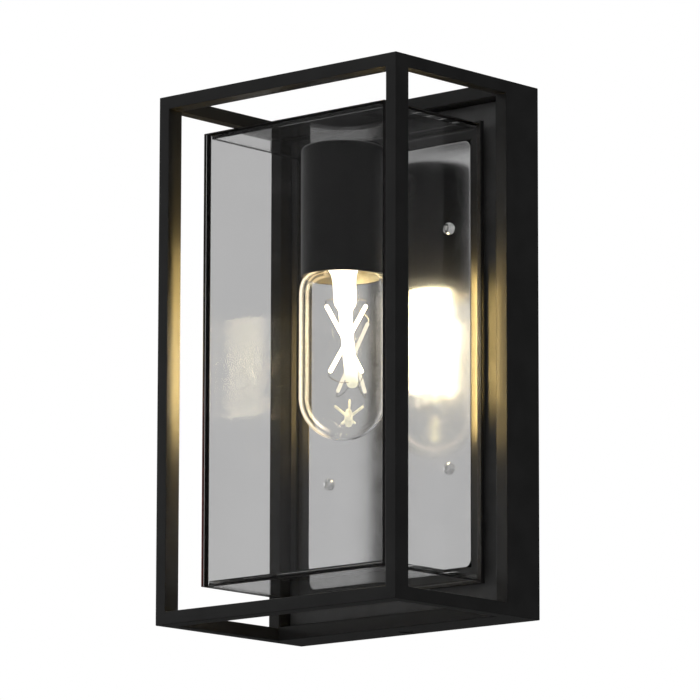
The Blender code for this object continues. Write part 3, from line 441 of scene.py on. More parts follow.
def box_cells(solids, voids):
    """One closed skin round the union of upright boxes, less the voids."""
    axes = [sorted({round(v, 7) for box in solids + voids for v in (box[0][i], box[1][i])})
            for i in range(3)]

    def inside(boxes, point):
        return any(all(low[i] < point[i] < high[i] for i in range(3)) for low, high in boxes)

    counts = [len(a) - 1 for a in axes]
    filled = set()
    for i in range(counts[0]):
        for j in range(counts[1]):
            for k in range(counts[2]):
                cell = (i, j, k)
                point = [(axes[a][cell[a]] + axes[a][cell[a] + 1]) / 2 for a in range(3)]
                if inside(solids, point) and not inside(voids, point):
                    filled.add(cell)
    work = bmesh.new()
    corners = {}

    def corner(key):
        if key not in corners:
            corners[key] = work.verts.new([axes[a][key[a]] for a in range(3)])
        return corners[key]

    for cell in sorted(filled):
        for axis in range(3):
            for side in (0, 1):
                beside = list(cell)
                beside[axis] += 2 * side - 1
                if tuple(beside) in filled:
                    continue
                u, v = [a for a in range(3) if a != axis]
                loop = []
                for du, dv in ((0, 0), (1, 0), (1, 1), (0, 1)):
                    key = list(cell)
                    key[axis] += side
                    key[u] += du
                    key[v] += dv
                    loop.append(corner(tuple(key)))
                work.faces.new(loop)
    bmesh.ops.recalc_face_normals(work, faces=work.faces)
    bmesh.ops.dissolve_limit(work, angle_limit=0.01, verts=work.verts, edges=work.edges)
    return work


def turned(name, profile, origin, axis="Z", sides=96, smooth_angle=38):
    """A closed profile of (radius, distance) points turned round an axis."""
    turn = Matrix() if axis == "Z" else Matrix.Rotation(math.radians(-90), 4, "X")
    work = bmesh.new()
    rings = []
    for radius, distance in profile:
        if radius == 0:
            rings.append([work.verts.new(Vector(origin) + turn @ Vector((0, 0, distance)))])
            continue
        ring = []
        for i in range(sides):
            angle = 2 * math.pi * i / sides
            point = Vector((radius * math.cos(angle), radius * math.sin(angle), distance))
            ring.append(work.verts.new(Vector(origin) + turn @ point))
        rings.append(ring)
    closed = profile[0][0] != 0
    for i in range(len(rings) if closed else len(rings) - 1):
        join_rings(work, rings[i], rings[(i + 1) % len(rings)])
    return from_bmesh(name, work, smooth_angle)


def join_rings(work, ring_a, ring_b):
    """Faces between two rings of points, or a ring and a pole."""
    if len(ring_a) == 1 and len(ring_b) == 1:
        return
    if len(ring_a) == 1 or len(ring_b) == 1:
        pole, ring = (ring_a[0], ring_b) if len(ring_a) == 1 else (ring_b[0], ring_a)
        for k in range(len(ring)):
            work.faces.new((pole, ring[k], ring[(k + 1) % len(ring)]))
        return
    for k in range(len(ring_a)):
        m = (k + 1) % len(ring_a)
        work.faces.new((ring_a[k], ring_a[m], ring_b[m], ring_b[k]))


def arc(centre, radius, start, end, steps):
    """Points of an arc, from start to end in degrees."""
    points = []
    for i in range(steps + 1):
        angle = math.radians(start + (end - start) * i / steps)
        points.append((centre[0] + radius * math.cos(angle), centre[1] + radius * math.sin(angle)))
    return points


def tube_along(work, points, radius, sides=10):
    """A round rod along a path, with domed ends."""
    path = [Vector(p) for p in points]
    first, last = (path[1] - path[0]).normalized(), (path[-1] - path[-2]).normalized()
    domes = [(dome * radius, math.sqrt(1 - dome * dome) * radius) for dome in (0.55, 0.85)]
    stations = [(path[0] - first * radius, first, 0.0)]
    stations += [(path[0] - first * beyond, first, reach) for reach, beyond in domes]
    for i, point in enumerate(path):
        before = path[max(i - 1, 0)]
        after = path[min(i + 1, len(path) - 1)]
        stations.append((point, after - before, radius))
    stations += [(path[-1] + last * beyond, last, reach) for reach, beyond in reversed(domes)]
    stations.append((path[-1] + last * radius, last, 0.0))
    rings = []
    side = None
    for place, direction, reach in stations:
        direction = direction.normalized()
        if side is None:
            side = direction.orthogonal().normalized()
        side = (side - direction * side.dot(direction)).normalized()
        other = direction.cross(side)
        if reach == 0:
            rings.append([work.verts.new(place)])
            continue
        rings.append([work.verts.new(place + (side * math.cos(2 * math.pi * k / sides)
                                              + other * math.sin(2 * math.pi * k / sides)) * reach)
                      for k in range(sides)])
    for ring_a, ring_b in zip(rings, rings[1:]):
        join_rings(work, ring_a, ring_b)


def smooth_path(points, steps=6):
    """A Catmull-Rom curve through the points."""
    ends = [points[0]] + list(points) + [points[-1]]
    path = []
    for i in range(1, len(ends) - 2):
        p0, p1, p2, p3 = (Vector(p) for p in ends[i - 1:i + 3])
        for k in range(steps):
            t = k / steps
            path.append(0.5 * (2 * p1 + (p2 - p0) * t + (2 * p0 - 5 * p1 + 4 * p2 - p3) * t ** 2
                               + (3 * p1 - p0 - 3 * p2 + p3) * t ** 3))
    path.append(Vector(points[-1]))
    return path


def cut(obj, *cutter_meshes):
    """Takes round cutters out of a piece for good."""
    for mesh in cutter_meshes:
        tool = bpy.data.objects.new("cutter", mesh)
        bpy.context.scene.collection.objects.link(tool)
        step = obj.modifiers.new("cut", "BOOLEAN")
        step.operation = "DIFFERENCE"
        step.solver = "EXACT"
        step.object = tool
        bpy.context.view_layer.update()
        made = bpy.data.meshes.new_from_object(
            obj.evaluated_get(bpy.context.evaluated_depsgraph_get()))
        obj.modifiers.clear()
        obj.data = made
        bpy.data.objects.remove(tool)
    obj.data.shade_smooth()
    obj.data.set_sharp_from_angle(angle=math.radians(30))


def rod(radius, origin, near, far, axis):
    """A round cutter from near to far along an axis."""
    return turned("cutter", [(0, near), (radius, near), (radius, far), (0, far)], origin, axis, 48)


def node_box(name):
    """Lowest and highest corner of a CAD node at rest."""
    low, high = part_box(name)
    return tuple(low), tuple(high)


# ============================================================ the welded cage
def build_cage():
    """Cage tubes and wall rim as one welded, coated frame."""
    bars = ["front_post_left", "front_post_right", "front_rail_top", "front_rail_bottom",
            "side_rail_top_left", "side_rail_top_right", "side_rail_bottom_left",
            "side_rail_bottom_right"]
    rims = ["rim_left", "rim_right", "rim_top", "rim_bottom"]
    post_low, post_high = node_box("front_post_right")
    y_front, y_back = post_low[1], post_high[1]
    thick = HALF_W - post_low[0]
    inner_w, inner_h = HALF_W - thick, HALF_H - thick
    solids = []
    for s in (-1, 1):
        xs = sorted((s * inner_w, s * HALF_W))
        zs = sorted((s * inner_h, s * HALF_H))
        solids.append(((xs[0], y_front, -HALF_H), (xs[1], y_back, HALF_H)))
        solids.append(((-HALF_W, y_front, zs[0]), (HALF_W, y_back, zs[1])))
        for t in (-1, 1):
            zt = sorted((t * inner_h, t * HALF_H))
            solids.append(((xs[0], y_back, zt[0]), (xs[1], RIM_FRONT, zt[1])))
    rim_w, rim_h = HALF_W - RIM_FACE, HALF_H - RIM_FACE
    for s in (-1, 1):
        xs = sorted((s * rim_w, s * HALF_W))
        zs = sorted((s * rim_h, s * HALF_H))
        solids.append(((xs[0], RIM_FRONT, -HALF_H), (xs[1], 0.0, HALF_H)))
        solids.append(((-HALF_W, RIM_FRONT, zs[0]), (HALF_W, 0.0, zs[1])))
    voids = []
    skin = RIM_FRONT + SHEET
    for s in (-1, 1):
        xs = sorted((s * (rim_w + SHEET), s * (HALF_W - SHEET)))
        zs = sorted((s * (rim_h + SHEET), s * (HALF_H - SHEET)))
        voids.append(((xs[0], skin, -HALF_H + SHEET), (xs[1], 0.0, HALF_H - SHEET)))
        voids.append(((-HALF_W + SHEET, skin, zs[0]), (HALF_W - SHEET, 0.0, zs[1])))
    voids.append(((-rim_w - SHEET, RIM_INNER_REAR, -rim_h - SHEET),
                  (rim_w + SHEET, 0.0, rim_h + SHEET)))
    work = box_cells(solids, voids)
    bevel_sharp(work, 0.0004, 2)
    cage = add_object("cage_frame", from_bmesh("cage_frame", work), "lantern", "black_coat", BLACK)
    head_room, shank_radius = 0.0003, 0.0022
    for node in ("fixing_screw_top", "fixing_screw_bottom"):
        low, high = node_box(node)
        centre = (0, (low[1] + high[1]) / 2, 0)
        sign = 1 if low[2] > 0 else -1
        near, far = sorted((sign * (HALF_H - 0.004), sign * (HALF_H + 0.001)))
        cut(cage, rod((high[0] - low[0]) / 2 + head_room, centre, near, far, "Z"))
        near, far = sorted((sign * (rim_h - 0.001), sign * (HALF_H - 0.003)))
        cut(cage, rod(shank_radius, centre, near, far, "Z"))
    keep_flats(cage)
    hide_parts(*bars, *rims)


def build_shade_frame():
    """Folded frame that the glass is bonded to."""
    w, h = SHADE_HALF
    ow, oh = SHADE_OPENING
    back = SHADE_FACE + SHEET
    sw, sh = w - SKIRT_INSET, h - SKIRT_INSET
    solids = [((-w, SHADE_FACE, -h), (w, back, h)), ((-sw, back, -sh), (sw, SHADE_REAR, sh))]
    voids = [((-ow, SHADE_FACE, -oh), (ow, back, oh)),
             ((-sw + SHEET, back, -sh + SHEET), (sw - SHEET, SHADE_REAR, sh - SHEET))]
    work = box_cells(solids, voids)
    bevel_sharp(work, 0.00025, 2)
    piece = add_object("shade_frame", from_bmesh("shade_frame", work), "glass_shade",
                       "black_coat", BLACK)
    keep_flats(piece)
    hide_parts("shade_frame_left", "shade_frame_right", "shade_frame_top",
                "shade_frame_bottom")


# ============================================================== the glass box
def build_panes():
    """Five float-glass panes with arrised edges, bonded along their edges."""
    for side in ("front", "left", "right", "top", "bottom"):
        low, high = node_box(f"pane_{side}")
        work = box_cells([(low, high)], [])
        bevel_sharp(work, 0.00022, 1)
        mesh = from_bmesh(f"glass_{side}", work, 20)
        piece = add_object(f"glass_{side}", mesh, "glass_shade", "shade_glass", SMOKE, BOND,
                           BOND_RED)
        thin = min(range(3), key=lambda a: high[a] - low[a])
        for face in mesh.polygons:
            if side in ("top", "bottom") or abs(face.normal[thin]) >= 0.5:
                continue
            at_corner = (side == "front" and face.normal.x < -0.5
                         or side == "left" and face.normal.y < -0.5)
            face.material_index = 2 if at_corner else 1
        keep_flats(piece)
        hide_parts(f"pane_{side}")


def build_bonds():
    """Thin adhesive lines in the joints between the panes."""
    front_high = node_box("pane_front")[1]
    side_low, side_high = node_box("pane_right")
    top_low, top_high = node_box("pane_top")
    w, h = front_high[0], front_high[2]
    wall = side_high[0] - side_low[0]
    y_a, y_b = front_high[1], side_low[1]
    line = BOND_LINE
    strips = [((-w, y_a, h - line), (w, y_b, h)), ((-w, y_a, -h), (w, y_b, -h + line)),
              ((-w, y_a, -h + line), (-w + wall, y_b, h - line)),
              ((w - wall, y_a, -h + line), (w, y_b, h - line))]
    work = box_cells(strips, [])
    mesh = from_bmesh("bond_front", work)
    add_object("bond_front", mesh, "glass_shade", "sealant", BOND, BOND_RED)
    for face in mesh.polygons:
        if face.center.x < -w + wall and abs(face.center.z) < h - line:
            face.material_index = 1
    for side, sx in (("left", -1), ("right", 1)):
        xs = sorted((sx * top_high[0], sx * side_low[0]))
        for level, sz in (("bottom", -1), ("top", 1)):
            zs = sorted((sz * (top_high[2] - line), sz * top_high[2]))
            work = box_cells([((xs[0], top_low[1], zs[0]), (xs[1], top_high[1], zs[1]))], [])
            name = f"bond_{level}_{side}"
            add_object(name, from_bmesh(name, work), "glass_shade", "sealant", BOND)


# ============================================================ mirror and cup
def build_mirror():
    """Mirror plate with round corners, a soft edge and its five holes."""
    low, high = node_box("mirror_plate")
    half_w, half_h = high[0], high[2]
    corner, soft, screw_hole = 0.0040, 0.0002, 0.0020
    curve = bpy.data.curves.new("mirror", "CURVE")
    curve.dimensions = "2D"
    curve.fill_mode = "BOTH"
    curve.extrude = (high[1] - low[1]) / 2 - soft
    curve.bevel_depth = soft
    curve.bevel_resolution = 2
    curve.offset = -soft
    outline = []
    for sx, sz, start in ((1, -1, -90), (1, 1, 0), (-1, 1, 90), (-1, -1, 180)):
        centre = (sx * (half_w - corner), sz * (half_h - corner))
        outline += arc(centre, corner, start, start + 90, 12)
    loops = [outline, arc((0, ARM_Z), ARM_HOLE, 0, 352.5, 47)]
    for node in SCREWS:
        a, b = node_box(node)
        loops.append(arc(((a[0] + b[0]) / 2, (a[2] + b[2]) / 2), screw_hole, 0, 345, 23))
    for loop in loops:
        spline = curve.splines.new("POLY")
        spline.points.add(len(loop) - 1)
        for point, (x, z) in zip(spline.points, loop):
            point.co = (x, z, 0, 1)
        spline.use_cyclic_u = True
    shape = bpy.data.objects.new("mirror_shape", curve)
    bpy.context.scene.collection.objects.link(shape)
    shape.matrix_world = (Matrix.Translation((0, (low[1] + high[1]) / 2, 0))
                          @ Matrix.Rotation(math.radians(90), 4, "X"))
    bpy.context.view_layer.update()
    depsgraph = bpy.context.evaluated_depsgraph_get()
    mesh = bpy.data.meshes.new_from_object(shape.evaluated_get(depsgraph))
    mesh.transform(shape.matrix_world)
    bpy.data.objects.remove(shape)
    mesh.materials.clear()
    work = bmesh.new()
    work.from_mesh(mesh)
    bmesh.ops.remove_doubles(work, verts=work.verts, dist=1e-6)
    piece = add_object("mirror_face", from_bmesh("mirror_face", work, 25), "lantern",
                       "mirror_steel", MIRROR)
    keep_flats(piece)
    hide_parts("mirror_plate")


def build_mirror_screws():
    """Button-head screws with a hexagon socket."""
    sides = 48
    socket, shank = 0.0013, 0.0016
    plate_front = node_box("mirror_plate")[0][1]
    for node in SCREWS:
        low, high = node_box(node)
        x, z = (low[0] + high[0]) / 2, (low[2] + high[2]) / 2
        head = (high[0] - low[0]) / 2
        top = plate_front - low[1]
        dome = [(head * math.cos(a), 0.25 * top + 0.75 * top * math.sin(a))
                for a in [math.radians(d) for d in range(0, 61, 10)]]
        profile = [(0, 0.35 * top, False), (socket, 0.42 * top, True), (socket, 0.90 * top, True)]
        profile += [(r, d, False) for r, d in reversed(dome)]
        profile += [(head, 0.0, False), (shank, 0.0, False),
                    (shank, plate_front - high[1], False), (0, plate_front - high[1], False)]
        work = bmesh.new()
        rings = []
        for radius, rise, hexagon in profile:
            y = plate_front - rise
            if radius == 0:
                rings.append([work.verts.new((x, y, z))])
                continue
            ring = []
            for i in range(sides):
                angle = 2 * math.pi * i / sides
                reach = radius
                if hexagon:
                    off_flat = (angle + math.pi / 6) % (math.pi / 3) - math.pi / 6
                    reach = radius / math.cos(off_flat)
                ring.append(work.verts.new((x + reach * math.cos(angle), y,
                                            z + reach * math.sin(angle))))
            rings.append(ring)
        for ring_a, ring_b in zip(rings, rings[1:]):
            join_rings(work, ring_a, ring_b)
        name = node.replace("mirror_screw", "button_screw")
        piece = add_object(name, from_bmesh(name, work, 35), "lantern", "zinc_steel",
                           BRIGHT_ZINC)
        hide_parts(node)


def build_cup():
    """The plain cup over the lamp holder, with a rolled rim and a round shoulder."""
    inner = CUP_RADIUS - CUP_WALL
    shoulder, ease = 0.0025, 0.0003
    profile = [(0, CUP_TOP)]
    profile += reversed(arc((CUP_RADIUS - shoulder, CUP_TOP - shoulder), shoulder, 0, 90, 10))
    profile += arc((CUP_RADIUS - ease, CUP_BOTTOM + ease), ease, 0, -90, 4)
    profile += arc((inner + ease, CUP_BOTTOM + ease), ease, -90, -180, 4)
    profile += arc((inner - 0.0015, CUP_TOP - 0.0030), 0.0015, 0, 90, 6)
    profile += [(0, CUP_TOP - CUP_WALL)]
    cup = add_object("lamp_cup", turned("lamp_cup", profile, (0, LAMP_Y, 0), sides=128), "lantern",
                     "black_coat", BLACK_PAINTED_SHADE, LINER_PAINTED_GLOW)
    rear = LAMP_Y + CUP_RADIUS
    cut(cup, rod(ARM_HOLE, (0, 0, ARM_Z), rear - 0.006, rear + 0.002, "Y"))
    # the inside of the cup takes the gold painted glow
    for face in cup.data.polygons:
        reach = math.hypot(face.center.x, face.center.y - LAMP_Y)
        if reach < inner + 0.0001 and face.center.z < CUP_TOP - CUP_WALL / 2:
            face.material_index = 1
    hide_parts("socket_cup")


def build_arm():
    """Hollow arm with a collar at the plate and one at the cup."""
    low, high = node_box("lamp_arm")
    gap = 0.0003
    plate_side = node_box("mirror_plate")[0][1] - gap
    cup_side = LAMP_Y + CUP_RADIUS + gap
    bore, tube, collar = 0.0034, 0.0050, 0.0080
    small = collar * 0.85
    profile = [
        (bore, high[1]), (tube, high[1]), (tube, plate_side), (collar - 0.0003, plate_side),
        (collar, plate_side - 0.0003), (collar, plate_side - 0.0014),
        (collar - 0.0005, plate_side - 0.0020), (tube + 0.0004, plate_side - 0.0023),
        (tube, plate_side - 0.0030), (tube, cup_side + 0.0026), (tube + 0.0003, cup_side + 0.0021),
        (small - 0.0005, cup_side + 0.0020), (small, cup_side + 0.0015), (small, cup_side),
        (tube, cup_side), (tube, low[1]), (bore, low[1]),
    ]
    arm = add_object("bracket_arm", turned("bracket_arm", profile, (0, 0, ARM_Z), "Y", 72, 30),
                     "lantern", "black_coat", BLACK)
    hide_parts("lamp_arm")


# ==================================================================== the bulb
def envelope_outline(inset):
    """Half outline of the bulb's glass, from its round end to its neck."""
    radius = BULB_RADIUS - inset
    points = [(0, BULB_BOTTOM + inset)]
    points += arc((0, BULB_BOTTOM + BULB_RADIUS), radius, -86, 0, 20)
    drop, rise = BULB_RADIUS - SHOULDER_RIM, CUP_BOTTOM - SHOULDER_Z
    for i in range(1, 11):
        t = i / 10
        points.append((radius - drop * (1 - math.sqrt(1 - 0.98 * t * t)), SHOULDER_Z + rise * t))
    end_r = points[-1][0]
    for t in (0.25, 0.5, 0.75, 1.0):
        ease = t * t * (3 - 2 * t)
        points.append((end_r + (NECK_RADIUS - inset - end_r) * ease, CUP_BOTTOM + 0.0059 * t))
    points.append((NECK_RADIUS - inset, NECK_TOP))
    return points


def build_bulb():
    """Envelope and stem, then what the stem carries."""
    outside = envelope_outline(0)
    inside = envelope_outline(BULB_WALL)
    mesh = turned("bulb_glass", outside + inside[::-1], (0, LAMP_Y, 0), sides=128, smooth_angle=60)
    glass = add_object("bulb_glass", mesh, "bulb", "bulb_glass", CLEAR)
    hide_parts("bulb_envelope")

    stem = [(0, 0.0520), (0.0100, 0.0520), (0.0100, 0.0505), (0.0096, 0.0480), (0.0080, 0.0450),
            (0.0067, 0.0425), (0.0061, 0.0390), (0.0060, 0.0330), (0.0059, 0.0280),
            (0.0053, 0.0258), (0.0042, 0.0245), (0.0036, 0.0232), (0.0034, 0.0180),
            (0.0034, -0.0120), (0.0032, -0.0145), (0.0025, -0.0165), (0.0013, -0.0173),
            (0, -0.0175)]
    mesh = turned("stem_glass", stem, (0, LAMP_Y, 0), sides=64, smooth_angle=50)
    for vert in mesh.vertices:
        vert.co += SIDEWAYS * stem_lean(vert.co.z)
    piece = add_object("stem_glass", mesh, "bulb", "bulb_glass", STEM_PAINTED_GLOW)
    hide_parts("bulb_stem")
    build_sticks()
    build_painted_end_reflection()


def stem_lean(height):
    """How far the stem is bent sideways at a height: a little at first, more at its lower end."""
    down = min(max((LEAN_TOP - height) / LEAN_LENGTH, 0.0), 1.0)
    at_end = max(0.0, (down - LEAN_END_START) / (1 - LEAN_END_START))
    return LEAN_ALONG * math.sqrt(down) + LEAN_AT_END * at_end ** 1.3


def stick_ends():
    """Both ends of each light-emitting stick."""
    places = {}
    for name, (sign, lean, offset, height) in STICKS.items():
        ring = STICK_RING + math.copysign(STICK_RADIUS + 0.0003, lean)
        middle = Vector((0, LAMP_Y, height)) + OUTWARD * sign * ring + SIDEWAYS * offset
        angle = math.radians(lean)
        reach = (SIDEWAYS * math.sin(angle) + Vector((0, 0, math.cos(angle)))) * STICK_LENGTH / 2
        places[name] = (middle - reach, middle + reach)
    return places


def build_sticks():
    """Four lit sticks, and the wires that hold them on the stem."""
    wires = bmesh.new()
    for name, (low, high) in stick_ends().items():
        work = bmesh.new()
        along = (high - low).normalized()
        tube_along(work, [low + along * 0.0010, low + along * 0.010, high - along * 0.010,
                          high - along * 0.0010], STICK_RADIUS, 20)
        # the back sticks take the dimmer copy: painted shade
        look = PHOSPHOR if "front" in name else PHOSPHOR_PAINTED_SHADE
        piece = add_object(f"lit_stick_{name}", from_bmesh(f"lit_stick_{name}", work, 60), "bulb",
                           "filament", look)
        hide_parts(f"filament_{name}")
        for end, z_stem, step in ((low, -0.0150, -1), (high, 0.0275, 1)):
            flat = Vector((end.x, end.y - LAMP_Y, 0)).normalized()
            start = (Vector((0, LAMP_Y, z_stem)) + flat * 0.0030
                     + SIDEWAYS * stem_lean(z_stem))
            knee = Vector((end.x, end.y, end.z + step * 0.0022))
            middle = (start + knee) / 2 + Vector((0, 0, step * 0.0012))
            tube_along(wires, smooth_path([start, middle, knee, end]), WIRE_RADIUS, 8)
    mesh = from_bmesh("support_wires", wires, 60)
    add_object("support_wires", mesh, "bulb", None, WIRE)


def build_painted_end_reflection():
    """Painted reflection: a glowing stand-in for the small upside-down image of the sticks in the
    bulb's round end.
    """
    centre = Vector((0, LAMP_Y, IMAGE_Z)) + SIDEWAYS * IMAGE_SHIFT
    work = bmesh.new()
    for across, up, radius in IMAGE_ARMS:
        tip = centre + SIDEWAYS * across + Vector((0, 0, up))
        tube_along(work, [centre, (centre + tip) / 2, tip], radius, 12)
    body = [(0, -0.0050), (0.0014, -0.0046), (0.0022, -0.0030), (0.0022, 0.0006),
            (0.0018, 0.0030), (0.0010, 0.0044), (0, 0.0048)]
    turns = [2 * math.pi * i / 24 for i in range(24)]
    rings = []
    for radius, rise in body:
        around = turns if radius else [0.0]
        rings.append([work.verts.new(centre + Vector((radius * math.cos(a), radius * math.sin(a),
                                                      rise))) for a in around])
    for ring_a, ring_b in zip(rings, rings[1:]):
        join_rings(work, ring_a, ring_b)
    add_object("painted_end_reflection", from_bmesh("painted_end_reflection", work, 60), "bulb", None, END_PAINTED_REFLECTION)


# ================================================== CAD nodes with new finishes
def smoothing_group():
    """A node group that shades curved faces smooth and keeps real edges sharp."""
    group = bpy.data.node_groups.new("soft_shading", "GeometryNodeTree")
    group.interface.new_socket("Geometry", in_out="INPUT", socket_type="NodeSocketGeometry")
    group.interface.new_socket("Geometry", in_out="OUTPUT", socket_type="NodeSocketGeometry")
    made = group.nodes.new
    start, end = made("NodeGroupInput"), made("NodeGroupOutput")
    weld = made("GeometryNodeMergeByDistance")
    weld.inputs["Distance"].default_value = 1e-6
    smooth = made("GeometryNodeSetShadeSmooth")
    sharp = made("GeometryNodeSetShadeSmooth")
    sharp.domain = "EDGE"
    sharp.inputs["Shade Smooth"].default_value = False
    angle = made("GeometryNodeInputMeshEdgeAngle")
    over = made("FunctionNodeCompare")
    over.inputs["B"].default_value = math.radians(38)
    link = group.links.new
    link(start.outputs[0], weld.inputs["Geometry"])
    link(weld.outputs["Geometry"], smooth.inputs["Geometry"])
    link(smooth.outputs["Geometry"], sharp.inputs["Geometry"])
    link(angle.outputs["Unsigned Angle"], over.inputs["A"])
    link(over.outputs["Result"], sharp.inputs["Selection"])
    link(sharp.outputs["Geometry"], end.inputs[0])
    return group


def finish_nodes():
    """Gives every CAD node that stays in view its finish."""
    finishes = {
        "mounting_bracket": ZINC, "ground_screw": GREEN, "wall_gasket": FOAM, "back_box": BLACK_BOX_PAINTED_LIGHT,
        "fixing_screw_top": BLACK, "fixing_screw_bottom": BLACK, "shade_clip_left": ZINC,
        "shade_clip_right": ZINC, "arm_nut_rear": ZINC, "arm_nut_cup": ZINC, "holder_strap": ZINC,
        "holder_screw_front": ZINC, "holder_screw_rear": ZINC, "lampholder_body": PORCELAIN,
        "screw_shell": BRASS, "centre_contact": BRASS, "terminal_block": NYLON,
        "shade_seal": SEALANT, "contact_tip": ZINC, "screw_cap": BRASS, "cap_insulator": VITRITE,
        **LEAD_LOOKS,
    }
    group = smoothing_group()
    softened = ("back_box", "terminal_block")
    for name, look in finishes.items():
        obj = NODES[name]
        for place in obj.material_slots:
            place.material = look
        step = obj.modifiers.new("soft_shading", "NODES")
        step.node_group = group
        if name in softened:
            edge = obj.modifiers.new("edge", "BEVEL")
            edge.width = 0.0004
            edge.segments = 2
            edge.limit_method = "ANGLE"
            edge.angle_limit = math.radians(50)


# ========================================================== studio and camera
def build_stage():
    """A pale floor well below the lantern, dim to the rays that glossy surfaces send out."""
    corners = [(x * FLOOR_HALF, y * FLOOR_HALF, FLOOR_LEVEL)
               for x, y in ((-1, -1), (1, -1), (1, 1), (-1, 1))]
    mesh = bpy.data.meshes.new("floor")
    mesh.from_pydata(corners, [], [(0, 1, 2, 3)])
    floor = bpy.data.objects.new("floor", mesh)
    bpy.context.scene.collection.objects.link(floor)
    pale = drifting_look("pale_floor", (0.86, 0.86, 0.86), (0.90, 0.90, 0.90), 3.0, (0.7, 0.9),
                         40.0, 0.0002)
    dim = pale.node("ShaderNodeEmission")
    pale.link(pale.ramp(pale.noise(3.0), (0.3, (0.055, 0.055, 0.055)),
                        (0.7, (0.065, 0.065, 0.065))), dim.inputs["Color"])
    path = pale.node("ShaderNodeLightPath")
    gloss = pale.node("ShaderNodeMath", operation="SUBTRACT", use_clamp=True)
    pale.link(path.outputs["Is Glossy Ray"], gloss.inputs[0])
    pale.link(path.outputs["Is Transmission Ray"], gloss.inputs[1])
    mix = pale.node("ShaderNodeMixShader")
    pale.link(gloss.outputs[0], mix.inputs["Fac"])
    pale.link(pale.shader.outputs["BSDF"], mix.inputs[1])
    pale.link(dim.outputs["Emission"], mix.inputs[2])
    pale.link(mix.outputs["Shader"], pale.out.inputs["Surface"])
    mesh.materials.append(pale.mat)


def build_world():
    """White studio; glossy surfaces see a dimmer room, lighter on the left."""
    world = bpy.data.worlds.new("studio")
    bpy.context.scene.world = world
    world.cycles.sampling_method = "NONE"
    world.use_nodes = True
    tree = world.node_tree
    tree.nodes.clear()
    made = tree.nodes.new
    direction = made("ShaderNodeTexCoord")
    across = made("ShaderNodeVectorMath")
    across.operation = "DOT_PRODUCT"
    across.inputs[1].default_value = ROOM_LIGHT_SIDE
    tree.links.new(direction.outputs["Generated"], across.inputs[0])
    ramp = made("ShaderNodeValToRGB")
    for element, position, tone in zip(ramp.color_ramp.elements, (0.0, 1.0), ROOM_TONES):
        element.position = position
        element.color = (tone, tone, tone, 1)
    tree.links.new(across.outputs["Value"], ramp.inputs["Fac"])
    room = made("ShaderNodeBackground")
    tree.links.new(ramp.outputs["Color"], room.inputs["Color"])
    white = made("ShaderNodeBackground")
    white.inputs["Color"].default_value = (1, 1, 1, 1)
    path = made("ShaderNodeLightPath")
    mix = made("ShaderNodeMixShader")
    out = made("ShaderNodeOutputWorld")
    glossy = made("ShaderNodeMath")
    glossy.operation = "SUBTRACT"
    glossy.use_clamp = True
    tree.links.new(path.outputs["Is Glossy Ray"], glossy.inputs[0])
    tree.links.new(path.outputs["Is Transmission Ray"], glossy.inputs[1])
    tree.links.new(glossy.outputs[0], mix.inputs["Fac"])
    tree.links.new(white.outputs["Background"], mix.inputs[1])
    tree.links.new(room.outputs["Background"], mix.inputs[2])
    tree.links.new(mix.outputs["Shader"], out.inputs["Surface"])


def add_lamp(name, place, target, size, watts, colour=LAMPLIGHT, spread=180):
    """An area lamp aimed at a point: a disk for one size, an upright strip for two."""
    lamp = bpy.data.lights.new(name, "AREA")
    if isinstance(size, tuple):
        lamp.shape = "RECTANGLE"
        lamp.size, lamp.size_y = size
    else:
        lamp.shape = "DISK"
        lamp.size = size
    lamp.spread = math.radians(spread)
    lamp.energy = watts
    lamp.color = colour
    obj = bpy.data.objects.new(name, lamp)
    bpy.context.scene.collection.objects.link(obj)
    obj.location = place
    obj.rotation_mode = "QUATERNION"
    aim = Vector(target) - Vector(place)
    obj.rotation_quaternion = aim.to_track_quat("-Z", "Y")
    return obj


def add_studio_light():
    """Two soft lamps, high in front and low on the left."""
    middle, white = (0, -0.06, 0), (1, 1, 1)
    add_lamp("key", (-1.6, -2.4, 1.6), middle, 1.2, 2.5, white)
    add_lamp("left_strip", (-2.4, -0.95, 0.3), middle, 0.7, 5.0, white)


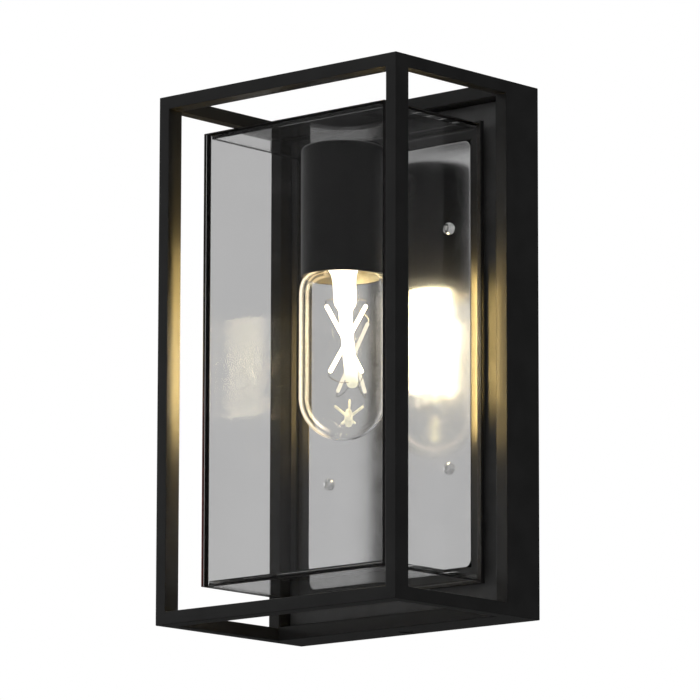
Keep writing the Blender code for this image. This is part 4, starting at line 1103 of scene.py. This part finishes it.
def add_bulb_light():
    """The light that the bulb throws: all round, on the frame either side and on the mirror."""
    lamp = bpy.data.lights.new("glow_round", "POINT")
    lamp.energy = 0.6
    lamp.shadow_soft_size = 0.008
    lamp.color = LAMPLIGHT
    middle = bpy.data.objects.new("glow_round", lamp)
    bpy.context.scene.collection.objects.link(middle)
    middle.location = (0, LAMP_Y, 0.012)
    on_frame = []
    for side, sign in (("right", 1), ("left", -1)):
        for part, (place, target, size, spread) in FRAME_LAMPS.items():
            on_frame.append(add_lamp(f"glow_{part}_{side}", (sign * place[0], *place[1:]),
                                     (sign * target[0], *target[1:]), size,
                                     FRAME_LAMP_WATTS[side][part], spread=spread))
    coats = (BLACK, BLACK_PAINTED_SHADE, BLACK_BOX_PAINTED_LIGHT)
    coated = bpy.data.collections.new("lit_by_frame_glow")
    for obj in bpy.context.scene.objects:
        if obj.type == "MESH" and any(slot.material in coats for slot in obj.material_slots):
            coated.objects.link(obj)
    for obj in on_frame:
        obj.light_linking.receiver_collection = coated
    for obj in [middle] + on_frame:
        obj.visible_transmission = False
    add_lamp("glow_mirror", (0.0050, -0.050, 0.017), (0.0050, 0.0, 0.017), (0.026, 0.056), 0.150,
             (1.0, 0.86, 0.55))


def build_camera():
    """A long lens, a little below the lantern and to its right."""
    azimuth, elevation, roll = CAMERA_AZIMUTH, CAMERA_ELEVATION, CAMERA_ROLL
    forward = Vector((-math.sin(azimuth) * math.cos(elevation),
                      math.cos(azimuth) * math.cos(elevation), math.sin(elevation)))
    right = forward.cross(Vector((0, 0, 1))).normalized()
    up = right.cross(forward)
    tilt_right = right * math.cos(roll) + up * math.sin(roll)
    tilt_up = up * math.cos(roll) - right * math.sin(roll)
    data = bpy.data.cameras.new("camera")
    data.sensor_width = 36.0
    data.lens = CAMERA_LENS
    data.clip_start = 0.1
    data.clip_end = 60.0
    camera = bpy.data.objects.new("camera", data)
    bpy.context.scene.collection.objects.link(camera)
    turn = Matrix((tilt_right, tilt_up, -forward)).transposed().to_4x4()
    camera.matrix_world = Matrix.Translation(CAMERA_PLACE) @ turn
    bpy.context.scene.camera = camera


def set_render_look():
    """Plain view transform, and enough bounces for the glass."""
    scene = bpy.context.scene
    scene.view_settings.view_transform = "Standard"
    scene.cycles.max_bounces = 24
    scene.cycles.transmission_bounces = 24
    scene.cycles.glossy_bounces = 8
    scene.cycles.transparent_max_bounces = 24


build_cage()
build_shade_frame()
build_panes()
build_bonds()
build_mirror()
build_mirror_screws()
build_cup()
build_arm()
build_bulb()
finish_nodes()
build_stage()
build_world()
build_camera()
add_studio_light()
add_bulb_light()
set_render_look()
